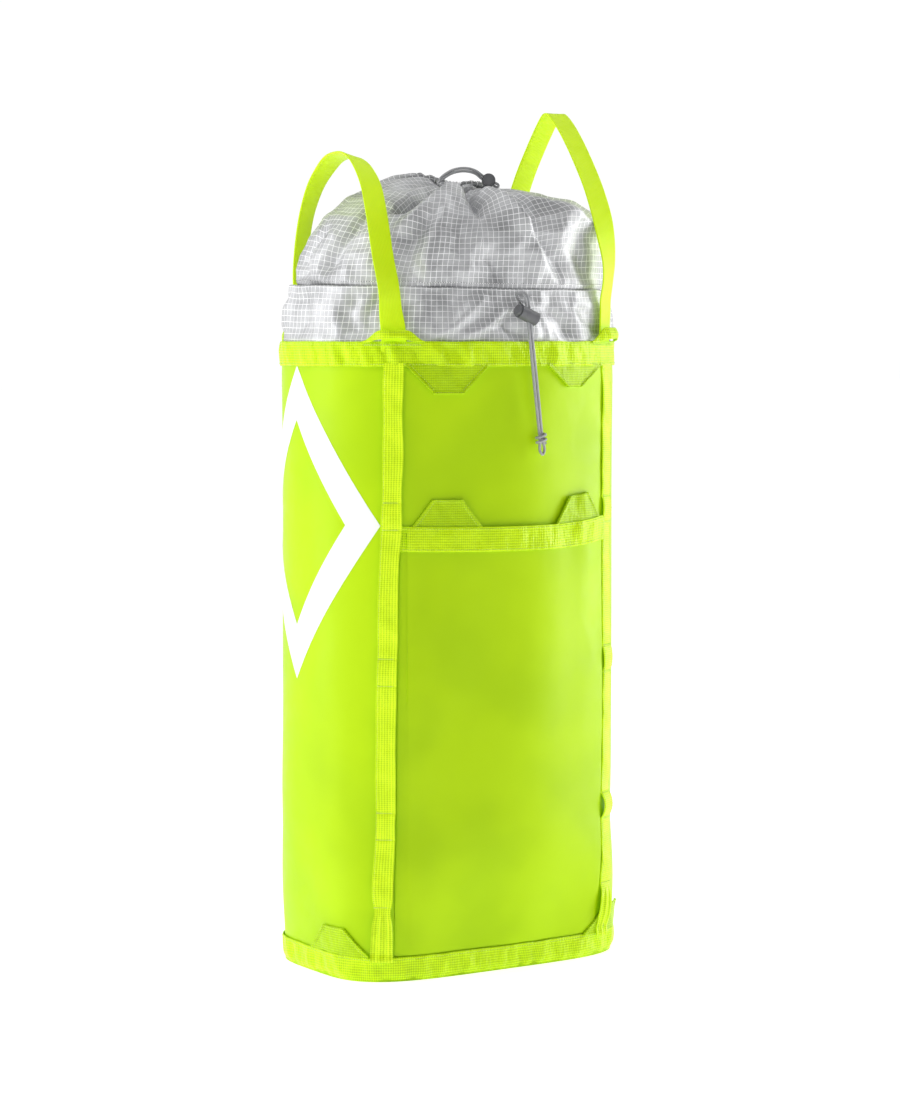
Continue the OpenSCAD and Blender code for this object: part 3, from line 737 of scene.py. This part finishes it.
# ---- stitched bindings
seam = lambda z: wall(np.linspace(-HALF_GIRTH, HALF_GIRTH, 900), z, WEB_IN + WEB_T + 0.85)
BINDING_THREAD = 3.0, 0.25, 0.75
stitches("rim_stitching", ([seam(RIM_H - k) for k in (2.6, WEB_W - 2.4)], *BINDING_THREAD))
stitches("base_stitching", ([seam(WEB_W - 2.0)], *BINDING_THREAD))
across = np.linspace(-POCKET_HALF - 3, POCKET_HALF - 1, 300)
trim_seam = lambda z: wall(across, z + sag(across, 450), TRIM_IN + WEB_T + 0.4 + gape(across, z))
stitches("pocket_stitching", ([trim_seam(POCKET_H - k) for k in (2.2, WEB_W - 2.2)], *BINDING_THREAD))

# ---- plain printed mark on the left side
MARK_S, MARK_Z, MARK_W, MARK_H, MARK_BAND = -250, 458, 105, 158, 30


def mark():
    """A plain diamond outline, printed on the tarp as one closed band."""
    corners = np.array([(0, 1), (1, 0), (0, -1), (-1, 0), (0, 1)], float)
    f = np.linspace(0, 1, 40, endpoint=False)[:, None]
    rim = np.concatenate([mix(a, b, f) for a, b in zip(corners, corners[1:])]) * [MARK_W, MARK_H]
    inner = 1 - MARK_BAND * math.hypot(1 / MARK_W, 1 / MARK_H)
    g = mix(rim[None], rim[None] * inner, np.linspace(0, 1, 9)[:, None, None])
    S, Z = MARK_S + g[..., 0], MARK_Z + g[..., 1]
    on_bag(shell("side_mark", wall(S, Z, TARP_T + 0.42), wall(S, Z, TARP_T - 0.25), stack(S, Z), PRINT,
                 ring=True), "tarp")


mark()

# ---- handles
def ribbon(name, path, w, t, mat):
    """Webbing along (x, y, z, turn, dip) stations: its width lies along X, turned about Z, +X edge dipped."""
    p, turn, dip = path[:, :3], np.radians(path[:, 3]), np.radians(path[:, 4])
    across = stack(np.cos(turn) * np.cos(dip), np.sin(turn) * np.cos(dip), -np.sin(dip))
    out = unit(np.cross(unit(np.gradient(p, axis=0)), across))
    u = lengths(-w / 2, w / 2, 2.2)
    share = rounded(w / 2 - np.abs(u))
    cup = 0.5 * (1 - (2 * u / w) ** 2) * 0.6
    grid = lambda k: p[:, None] + u[None, :, None] * across[:, None] \
        + (k * share * t / 2 + cup)[None, :, None] * out[:, None]
    return shell(name, grid(-1), grid(1), stack(*np.meshgrid(u, run_along(p))), mat)


def foot(s, end, turn, top_turn=0.0):
    """Stations from inside the rim at s up to the loop's end at the fold line."""
    a = wall(s, RIM_H + 1, 1.8)
    low = wall(s, RIM_H - 14, -0.2)
    out = [(low[0], low[1], RIM_H - 14, turn, 0)]
    for t in (0, 0.25, 0.5, 0.75):
        k = float(smooth(t))
        x, y = (mix(p, q, k) for p, q in zip(a[:2], end))
        out.append((x, y, mix(RIM_H + 1, FOLD_H, t), mix(turn, top_turn, k), 0))
    return out


# y, share of the rise, turn, dip and shift in x of each station; what is left out is 0
LEFT = [(-98, 0), (-93, 0.12), (-84.5, 0.26), (-77, 0.42), (-68.5, 0.6, 0, 2), (-57, 0.78, 0, 5),
        (-40, 0.915, 0, 12, -1), (-20, 0.985, 0, 15, -1), (0, 1, 0, 12, -1), (21, 0.985, 0, 6, -1),
        (41, 0.92, 4, 2, -1), (61, 0.8, 14, 0, -3), (79, 0.63, 22, 0, -3.5), (90, 0.45, 24, 0, -3.5),
        (97, 0.26, 24, 0, -3), (100, 0.12, 24, 0, -2), (100.5, 0, 26)]
RIGHT = [(-99, 0, 30), (-102, 0.1, 31, 0, 1), (-103, 0.2, 24, 0, 1), (-99, 0.33, 8), (-91, 0.45), (-77, 0.59),
         (-60, 0.72), (-42, 0.84), (-26, 0.93), (-13, 0.985), (-6, 1), (1, 0.985), (13, 0.92), (29, 0.82),
         (49, 0.68), (69, 0.5), (85, 0.32), (93, 0.16), (96, 0)]


def handle(side, k, stations, x, lean, top, front_turns, rear_turns):
    """A handle's strap from its front foot over its loop, which leans off the Y line, to its rear foot."""
    loop = [(x + lean * y + dx, y, FOLD_H + h * (top - FOLD_H), turn, dip)
            for y, h, turn, dip, dx in (row + (0,) * (5 - len(row)) for row in stations)]
    line = foot(k * CHAIN_S, loop[0], *front_turns) + loop + foot(k * REAR_S, loop[-1], *rear_turns)[::-1]
    ob = ribbon(f"handle_{side}_strap", spline(line, 3.0), WEB_W, 1.7, LIT_HANDLE_WEB)
    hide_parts(f"handle_{side}", f"handle_foot_front_{side}", f"handle_foot_rear_{side}")
    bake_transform(ob)


handle("left", -1, LEFT, -125, 0.072, 828 - WEB_T / 2, [-32], [32, 26])
handle("right", 1, RIGHT, 128, 0, 878, [32, 30], [-32])

# ---- hood
CROWN = np.array([12, 8])
# Size and height of the dome against t (0 at the seam, 1 at the mouth), at the left, front, right and back,
# which are a quarter turn apart from FIRST_TURN on
DOME_T = [0, 0.1, 0.2, 0.32, 0.45, 0.58, 0.7, 0.8, 0.88, 0.95, 1]
FIRST_TURN = -122.6
DOME_K = [[1.0, 1.0, 0.975, 0.92, 0.82, 0.68, 0.53, 0.39, 0.27, 0.18, 0.13],
          [1.0, 1.0, 0.985, 0.95, 0.87, 0.73, 0.56, 0.4, 0.27, 0.18, 0.13],
          [1.02, 1.03, 1.03, 1.02, 0.96, 0.81, 0.6, 0.43, 0.29, 0.18, 0.13],
          [1.0, 1.0, 0.99, 0.95, 0.87, 0.73, 0.56, 0.4, 0.27, 0.18, 0.13]]
DOME_Z = [[695, 712, 727, 745, 767, 788, 801, 809, 812, 811, 806],
          [695, 712, 729, 748, 766, 780, 788, 792, 793, 793, 792],
          [695, 715, 735, 754, 770, 782, 790, 795, 797, 797, 795],
          [695, 712, 730, 750, 769, 785, 796, 803, 806, 805, 802]]
# Deep folds running down from the mouth: turn at the mouth, turn at the low end, t of the low end,
# depth, reach on the left and on the right of the fold line
FOLDS = [(-152, -146, 0.3, 7, 8, 14), (-122, -126, 0.35, 8, 14, 7), (-98, -100, 0.5, 5, 6, 10),
         (-74, -76, 0.55, 5, 8, 10), (-52, -54, 0.6, 5, 5, 10), (-14, -17, 0.36, 32, 9, 8),
         (10, 8, 0.6, 6, 8, 6), (34, 32, 0.6, 5, 10, 7), (60, 62, 0.5, 5, 8, 12),
         (88, 86, 0.25, 9, 14, 8), (116, 120, 0.2, 7, 8, 16), (146, 142, 0.3, 8, 12, 8),
         (178, 184, 0.25, 8, 14, 8)]
# Ridges (+) and valleys (-) of the slack cloth: height, reach left and right of their line, and the line
# from its upper end down, as the turn and the t in percent of each point
DOME_CREASES = [
    (7.5, 7, 24, -29, 82, -35, 72, -41, 58, -47, 46, -53, 36), (-13, 9, 8, -46, 86, -54, 66, -58, 50),
    (4, 5, 8, -38, 90, -48, 70, -54, 56), (6.5, 11, 10, -3, 72, 1, 60, 6, 46, 9, 33),
    (-7, 6, 17, 9, 78, 12, 50, 18, 30, 28, 9), (4, 20, 5, 3, 60, 7, 42, 13, 25, 21, 8),
    (5, 16, 14, 18, 72, 30, 57, 48, 40, 60, 28), (-4, 12, 12, 44, 36, 40, 20, 46, 6),
    (-6, 13, 6, -40, 47, -46, 30, -48.5, 16, -48, 3), (4, 5, 20, -41, 33, -43, 16, -41, 4),
    (-7, 8, 9, -69, 55, -77, 32, -82, 10), (2, 9, 14, -61, 25, -66, 10),
    (-6, 12, 7, -92, 36, -99, 17, -95, 3),
    (-2.2, 9, 16, -28.5, 55, -28, 22), (-3, 14, 6, -12, 20, -8, 4), (5, 14, 14, 80, 60, 90, 20),
    (-5, 12, 12, 110, 60, 104, 10), (6, 14, 16, 132, 70, 140, 20), (-5, 12, 12, 165, 60, 160, 10),
    (6, 14, 14, -165, 70, -158, 20), (-5, 14, 12, -132, 60, -128, 10)]
BAND_CREASES = [
    (-4, 7, 5, -66, 95, -69, 50, -65, 5), (-3, 5, 7, -58, 95, -63, 40, -61, 15),
    (3.4, 7, 7, -16, 90, -27, 45, -38, 2), (3.4, 7, 9, 1, 75, -12, 40, -29, 3),
    (-4.5, 12, 7, -2, 62, -6, 30, 1, 6),
    (-4.5, 7, 9, 17, 66, 27, 38, 28, 3), (2.5, 7, 5, 8, 50, 12, 5), (-2.6, 10, 8, -90, 85, -87, 20),
    (-3, 9, 5, -48, 75, -50, 10), (2.4, 7, 8, -102, 70, -104, 20), (-3, 9, 12, 40, 70, 48, 10),
    (3, 8, 8, 64, 80, 60, 10), (-4, 10, 12, 95, 80, 100, 10), (3.4, 10, 10, 125, 80, 118, 10),
    (-4, 12, 10, 150, 80, 156, 10), (3.4, 12, 12, 180, 80, 176, 10), (-4, 12, 10, -150, 80, -156, 10),
    (3, 10, 10, -128, 80, -122, 10)]
BAND_ROWS, DOME_ROWS = 15, 46


def by_turn(table, t, phi):
    """Reads a dome table at t and phi (degrees), turning smoothly between its four columns."""
    rows = [np.interp(t, DOME_T, r) for r in table]
    x = ((phi - FIRST_TURN) / 90) % 4
    i = np.floor(x).astype(int)
    return mix(np.choose(i % 4, rows), np.choose((i + 1) % 4, rows), smooth(x - i))


def crease(x, y, seed):
    """Seeded noise over arrays x, y."""
    out = np.array([noise.noise(Vector((a, b, seed))) for a, b in zip(np.ravel(x), np.ravel(y))])
    return out.reshape(np.shape(x))


def ridged(x, y, seed):
    """Sharp-edged creases, 0 to about 1."""
    return 1 - np.abs(crease(x, y, seed)) * 2.4


def creased(lines, phi, t, arm):
    """Height of all the listed ridges and valleys at turn phi (degrees) and t; arm is mm per radian."""
    out = np.zeros(np.broadcast(phi, t).shape)
    for h, left, right, *line in lines:
        turns, ts = np.array(line[::2])[::-1], np.array(line[1::2])[::-1] / 100
        x = np.radians((phi - np.interp(t, ts, turns) + 180) % 360 - 180) * arm
        ends = smooth((t - ts[0] + 0.06) / 0.12) * smooth((ts[-1] + 0.06 - t) / 0.12)
        far = np.minimum(np.abs(x) / np.where(x < 0, left, right), 20)
        out = out + 1.65 * h * ends / (np.cosh(far) ** 1.5)
    return out


def seam_dz(phi):
    """The seam dips a little towards the front right."""
    return -0.4 - 3.0 * np.cos(np.radians(phi - 20))


def hood_columns():
    """Turn of every column at t = 0 and 1, and which fold lies left of it; the folds follow the columns."""
    parts = []
    for g, f in enumerate(FOLDS):
        last = g == len(FOLDS) - 1
        nxt, wrap = FOLDS[0 if last else g + 1], 360 * last
        x = np.linspace(0, 1, max(8, int(round((nxt[0] + wrap - f[0]) / 2.0))) + 1)
        parts.append((mix(f[1], nxt[1] + wrap, x), mix(f[0], nxt[0] + wrap, x), np.full(len(x), g), x))
    return [np.concatenate(v) for v in zip(*parts)]


# Every fold's line is a doubled column: GORE steps there, and SINGLE skips one of the two
LOW, HIGH, GORE, PART = hood_columns()
SINGLE = [j for j in range(len(GORE) - 1) if GORE[j] == GORE[j + 1]]
T_DOME = np.concatenate([np.linspace(0, 0.9, DOME_ROWS - 9), np.linspace(0.9, 1, 10)[1:]])


def stack_normals(p):
    """Unit normals of a grid of points, outward."""
    n = np.cross(np.gradient(p, axis=1), np.gradient(p, axis=0))
    return n / np.maximum(np.linalg.norm(n, axis=2), 1e-9)[..., None]


def dome_grid():
    """The gathered dome, from the seam (t = 0) to the mouth (t = 1)."""
    t, low = np.meshgrid(T_DOME, LOW, indexing="ij")
    phi = mix(low, HIGH[None], smooth(t * 1.15))
    k = SEAM_SCALE * by_turn(DOME_K, t, phi)
    x, y = outline(section(RIM_H), np.radians(phi), -1.5, k)
    p = stack(x + CROWN[0] * (1 - k / SEAM_SCALE), y + CROWN[1] * (1 - k / SEAM_SCALE),
              by_turn(DOME_Z, t, phi) + seam_dz(phi) * (1 - smooth(t / 0.3)))
    n = stack_normals(p)
    arm = np.hypot(p[..., 0] - CROWN[0] * t, p[..., 1] - CROWN[1] * t)
    drop = np.zeros_like(t)
    for g, (_, _, low_end, depth, left, right) in enumerate(FOLDS):
        run = smooth((t - low_end) / 0.35) * (0.25 + 0.75 * smooth((1.02 - t) / 0.22))
        for gore, part, reach in ((g, PART, right), ((g - 1) % len(FOLDS), 1 - PART, left)):
            turn = math.radians((FOLDS[(gore + 1) % len(FOLDS)][0] - FOLDS[gore][0]) % 360)
            drop += (GORE == gore) * depth * run * np.exp(-part * arm * turn / (reach * (0.45 + 0.55 * k)))
    lobes = 8.8 * PART * (1 - PART) * smooth((t - 0.6) / 0.2) * smooth((1.02 - t) / 0.15)
    cx, cy, v = np.cos(np.radians(phi)), np.sin(np.radians(phi)), t * 190
    soft = 3.6 * crease(cx * 2.6 + v * 0.004, cy * 2.6 + v * 0.004, 3.1)
    sharp = 1.6 * (ridged(cx * 4.1 + v * 0.012, cy * 4.1 - v * 0.007, 9.7) - 0.6)
    edge = smooth(t / 0.1) * smooth((1.0 - t) / 0.12)
    placed = creased(DOME_CREASES, phi, t, arm) * smooth(t / 0.06) * smooth((1.0 - t) / 0.22)
    p = p + n * (lobes - drop + (soft + sharp) * edge + placed)[..., None]
    # the cloth leaves the seam from a little inside the band's top edge
    p[..., :2] -= n[..., :2] * 1.9 * (1 - smooth(t / 0.05))[..., None]
    return p


def dome_uv(p):
    """Cloth coordinates: every gore keeps its full-size grid, and what is folded away lies in the folds."""
    v, seam = run_along(p), run_along(p[0])
    v = v.mean(axis=1, keepdims=True) * 0.5 + v * 0.5
    u = np.empty_like(v)
    for g in range(len(FOLDS)):
        c = GORE == g
        run = run_along(p[:, c].swapaxes(0, 1)).T
        u[:, c] = seam[c].mean() + run - run[:, [c.sum() // 2]]
    return stack(mix(seam[None], u, smooth(T_DOME / 0.35)[:, None]), v)


def hem_rows(top):
    """The gathered hem: up and over the mouth's edge, then down inside it."""
    c = np.append(CROWN, 0)
    rows = [top]
    pleat = np.cos(np.radians(HIGH) * 26 + 1.5 * np.sin(np.radians(HIGH) * 3)) * 0.5
    for r, z, w in ((1.06, 2.2, 0.6), (1.03, 5.0, 1.5), (0.9, 6.6, 2.0), (0.74, 6.0, 2.0), (0.6, 3.2, 1.4),
                    (0.5, -1, 0.8), (0.42, -7, 0.5), (0.36, -14, 0.3)):
        row = c + (top - c) * r
        row[:, 2] = top[:, 2] * 0.6 + top[:, 2].mean() * 0.4 + z + w * pleat
        row[:, :2] += (row[:, :2] - CROWN) * (w * 0.05 * pleat)[:, None]
        rows.append(row)
    return np.array(rows)


def band_grid():
    """The band from inside the rim up to the seam, its top edge rolled in, and its cloth coordinates."""
    z = np.concatenate([[RIM_H - 9], np.linspace(RIM_H - 4, SEAM_H - 3, BAND_ROWS - 4),
                        [SEAM_H - 1, SEAM_H + 1.0, SEAM_H + 0.4]])[:, None]
    v = np.clip((z - RIM_H) / (SEAM_H - RIM_H), 0, 1)
    right_only = [[k] * len(DOME_T) for k in (0, 0, 1, 0)]
    wide = 0.045 * bell(LOW, -98, 20) + 0.02 * by_turn(right_only, 0 * LOW, LOW)
    cx, cy = np.cos(np.radians(LOW))[None], np.sin(np.radians(LOW))[None]
    drape = 2.0 * crease(cx * 3.6 + v * 0.3, cy * 3.6 - v * 0.5, 2.4)
    drape = drape + 1.2 * (ridged(cx * 6.5 + v * 0.5, cy * 6.5 + v * 0.35, 7.9) - 0.62)
    drape = drape + creased(BAND_CREASES, LOW[None], v, 145.0)
    off = 2.5 * arched(v) - 1.5 + drape * smooth(v / 0.2) * (0.35 + 0.65 * smooth((1.08 - v) / 0.3))
    off[-3:] += [[1.6], [0.7], [-1.6]]
    x, y = outline(section(RIM_H), np.radians(LOW)[None] + 0 * v, off, mix(1, SEAM_SCALE + wide[None], v))
    p = stack(x, y, z + (seam_dz(LOW)[None] + 0.7 * crease(cx * 9, cy * 9, 1.3)) * smooth(v / 0.9))
    return p, stack(*np.meshgrid(run_along(p[2]), run_along(p.mean(axis=1))))


def relax(rows, fixed, grow=0.03, hold=0.4, frames=24):
    """Short cloth simulation: the cloth is let out by `grow` round its cut shape, so that it creases."""
    alone = np.isin(np.arange(len(GORE)), SINGLE)
    back = (np.cumsum(alone) - alone) % len(SINGLE)
    grid = rows[:, SINGLE]
    n, m = grid.shape[:2]
    ob = make("cloth_sim", grid.reshape(-1, 3), grid_faces(n, m, True))
    pins = ob.vertex_groups.new(name="pins")
    for row in range(n):
        pins.add(list(range(row * m, (row + 1) * m)), 1.0 if row in fixed else hold, "REPLACE")
    mod = ob.modifiers.new("cloth", "CLOTH")
    c = mod.settings
    c.vertex_group_mass = "pins"
    c.pin_stiffness = 1.0
    c.quality, c.mass = 6, 0.08
    c.tension_stiffness = c.compression_stiffness = 30
    c.shear_stiffness, c.bending_stiffness = 12, 0.12
    c.tension_damping = c.compression_damping = c.shear_damping = 6
    c.air_damping = 4
    c.shrink_min = -grow
    c.effector_weights.gravity = 0.0
    mod.collision_settings.use_self_collision = False
    mod.collision_settings.use_collision = False
    mod.point_cache.frame_start, mod.point_cache.frame_end = 1, frames
    for f in range(1, frames + 1):
        bpy.context.scene.frame_set(f)
    me = ob.evaluated_get(bpy.context.evaluated_depsgraph_get()).to_mesh()
    co = np.empty(len(me.vertices) * 3)
    me.vertices.foreach_get("co", co)
    bpy.context.scene.frame_set(1)
    bpy.data.objects.remove(ob)
    return co.reshape(n, m, 3)[:, back] / MM


def cloth_piece(node, rows, uv, thick=0.5):
    """Closed thin cloth ring from a grid whose doubled columns are welded back together."""
    n, m = rows.shape[:2]
    i, j = np.arange(n - 1)[:, None] * m, np.array(SINGLE)
    ob = make(node + "_cloth", rows.reshape(-1, 3), quads(i + j, i + j + 1, i + m + j + 1, i + m + j),
              uv.reshape(-1, 2), RIPSTOP)
    ob.modifiers.new("weld", "WELD").merge_threshold = 0.00005
    sub = ob.modifiers.new("sub", "SUBSURF")
    sub.levels = sub.render_levels = 1
    solid = ob.modifiers.new("solid", "SOLIDIFY")
    solid.thickness, solid.offset = thick * MM, 0
    return on_bag(ob, "ripstop", node)


dome, (band, band_map) = dome_grid(), band_grid()
dome_map = dome_uv(dome)
dome = relax(dome, (0, DOME_ROWS - 1))
band = relax(band, (0, 1, BAND_ROWS - 3, BAND_ROWS - 2, BAND_ROWS - 1))
dome_ob = cloth_piece("hood_dome", dome, dome_map)
hem = hem_rows(dome[-1])
hem_run = run_along(hem[1])
hem_ob = cloth_piece("hood_hem", hem, stack(*np.meshgrid(hem_run * 1.3, np.arange(len(hem)) * 3.0)))
band_ob = cloth_piece("hood_band", band, band_map)


# ---- slack of the hem, cord tab, stitching of the hood
def hood_stitches(name, *group):
    stitches(name + "_stitching", group, mat=HOOD_THREAD, slot="ripstop")


def slack(name, points, seed):
    """A gathered length of hem on the crown: a flat tube through (x, y, z, width, thickness) points."""
    path = spline(points, 1.5)
    tan = unit(np.gradient(path[:, :3], axis=0))
    side = unit(np.cross(tan, [0, 0, 1.0]))
    up = np.cross(side, tan)
    a = np.linspace(0, 2 * math.pi, 40, endpoint=False)
    run = np.arange(len(path)) * 1.5
    pleat = 1 + 0.16 * ripples(run, seed, 5, 5, 16)[:, None] + 0.06 * np.cos(3 * a + seed)[None]
    flat = np.sign(np.sin(a)) * np.abs(np.sin(a)) ** 0.8
    wide, high = path[:, 3:4] / 2 * np.cos(a) * (0.9 + 0.1 * pleat), path[:, 4:5] / 2 * flat * pleat
    rows = path[:, None, :3] + wide[..., None] * side[:, None] + high[..., None] * up[:, None]
    uv = stack(*np.meshgrid(np.arange(len(a)) * 1.2, run))
    # The slack is drawn in the darker hem cloth, which paints shade on it.
    ob = on_bag(closed_tube(name, rows, uv, SHADED_HEM_CLOTH), "ripstop")
    hood_stitches(name, [(rows[:, j] + up * 0.25)[2:-4] for j in (8, 14)], 2.6, 0.3, 0.6)
    return ob


slack_pieces = [
    slack("hood_hem_slack", [(0, 9, 803, 10, 6), (-20, 18, 807, 20, 10), (-38, 27, 806, 24, 10.5),
                             (-56, 37, 801, 22, 9), (-72, 47, 792, 16, 6), (-84, 54, 783, 8, 3)], 3),
    slack("hood_hem_slack_right",
          [(20, 10, 803, 7, 4), (36, 6, 803, 10, 6), (52, 4, 799, 9, 5), (66, 4, 793, 4, 2)], 5)]


def on_band(turn, z, off):
    """A point of the relaxed band at turn (degrees) and height z, off outward."""
    rows = band[:, :, 2].mean(axis=1)
    pick = lambda g: stack(*(np.interp(turn, LOW, column) for column in mix(g[i], g[i + 1], f).T))
    i = int(np.clip(np.searchsorted(rows, z) - 1, 0, len(rows) - 2))
    f = (z - rows[i]) / (rows[i + 1] - rows[i])
    n = pick(stack_normals(band))
    return pick(band) + off * n / np.linalg.norm(n)


TAB_TURN = 5.6
tab_rows = [(672 + 17 * f, mix(1.0, 4.0, f)) for f in np.linspace(0, 1, 9)]
tab_us = np.linspace(-1, 1, 9)
tab_at = lambda off: np.array([[on_band(TAB_TURN + u * w, z, off) for u in tab_us] for z, w in tab_rows])
tab_map = np.array([[(u * w * 2.2, z) for u in tab_us] for z, w in tab_rows])
on_bag(shell("cord_tab_cloth", tab_at(1.5), tab_at(0.7), tab_map, RIPSTOP), "ripstop", "cord_tab")
sides = [[on_band(TAB_TURN + k * w * 0.86, z, 1.7) for z, w in tab_rows] for k in (-1, 1)]
end = [on_band(TAB_TURN + u, 688.4, 1.7) for u in np.linspace(-3.6, 3.6, 9)]
hood_stitches("cord_tab", sides + [end], 2.0, 0.3, 0.5)


def declare(uv):
    """Works out the steps, flat width and flat height of a gathered cloth's grid of cloth coordinates (mm),
    and returns nothing.
    """
    dz, dx = np.diff(uv[..., 1], axis=0)[:, :-1], np.diff(uv[..., 0], axis=1)[:-1]
    wide, high = np.ptp(uv[0, :, 0]) * MM, uv[-1, :, 1].mean() * MM


declare(dome_map)
declare(band_map)
hood_stitches("hood_seam", [mix(dome[1], dome[2], 0.3) + stack_normals(dome)[1] * 0.5], 2.8, 0.35, 0.7)

# ---- locks keep their CAD shape
# Each spring's far end in the press direction given is found, and the spring gets its own copy of its mesh.
for lock, press in (("side_cordlock", (0.9205, 0, -0.39073)), ("top_cordlock", (0.53877, 0.84245, 0))):
    for part in ("_body", "_button"):
        bevel = dress(lock + part, LOCK).modifiers.new("edge", "BEVEL")
        bevel.width, bevel.segments, bevel.limit_method = 0.0006, 2, "ANGLE"
    ob, press = dress(lock + "_spring", STEEL), np.array(press)
    points = np.array([ob.matrix_world @ v.co for v in ob.data.vertices])
    middle = points.mean(axis=0)
    end = middle + press * ((points @ press).max() + 0.0001 - middle @ press)
    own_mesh(ob)

# ---- floor, light
FLOOR = 30000
paint = Look("floor", Roughness=0.9, Base_Color=(0.9, 0.9, 0.9, 1), Emission_Color=(1, 1, 1, 1),
             Emission_Strength=0.63)
floor = make("floor", [(x * FLOOR, y * FLOOR, 0) for x, y in ((-1, -1), (1, -1), (1, 1), (-1, 1))],
             [(0, 1, 2, 3)], mat=paint.mat)
# A white sweep all round: white along the horizon, dark in front of the bag's flat face, softer behind it
DARK_TURN = math.radians(8)
world = bpy.data.worlds.new("studio")
bpy.context.scene.world = world
world.use_nodes = True
sky = Nodes(world.node_tree)
ray = sky.node("TexCoord", "Generated")
facing = sky.node("VectorMath", "Value", [("operation", "DOT_PRODUCT")], i0=ray,
                  i1=turned(DARK_TURN, 1, 0))
horizon = sky.ramp(sky.math("ABSOLUTE", sky.split(ray)[2]), 0.14, 0.19, 1.02, 0.0)
front, rear = sky.ramp(facing, -0.35, 0.42, 1.12, 0.0), sky.ramp(facing, -0.8, -0.4, 0.12, 1.0)
colour, strength = sky.t.nodes["Background"].inputs[:2]
colour.default_value = (1, 1, 1, 1)
sky.t.links.new(sky.math("MAXIMUM", sky.math("MULTIPLY", front, rear), horizon), strength)


MIDDLE_H = 0.45


def softbox(name, turn, up, dist, size, power):
    """Area light turned from the camera's side of the bag, aimed at its middle."""
    light, up = bpy.data.lights.new(name, "AREA"), math.radians(up)
    light.shape, light.size, light.size_y, light.energy = "RECTANGLE", size[0], size[1], power
    place = turned(VIEW_TURN + math.radians(turn), math.cos(up) * dist, MIDDLE_H + math.sin(up) * dist)
    aimed(name, light, place, (0, 0, MIDDLE_H))


softbox("left_box", 77, 8, 2.4, (0.7, 2.2), 27)
softbox("right_box", -108, 8, 2.4, (0.7, 2.2), 42)
softbox("top_box", 20, 60, 2.2, (0.6, 0.6), 9)
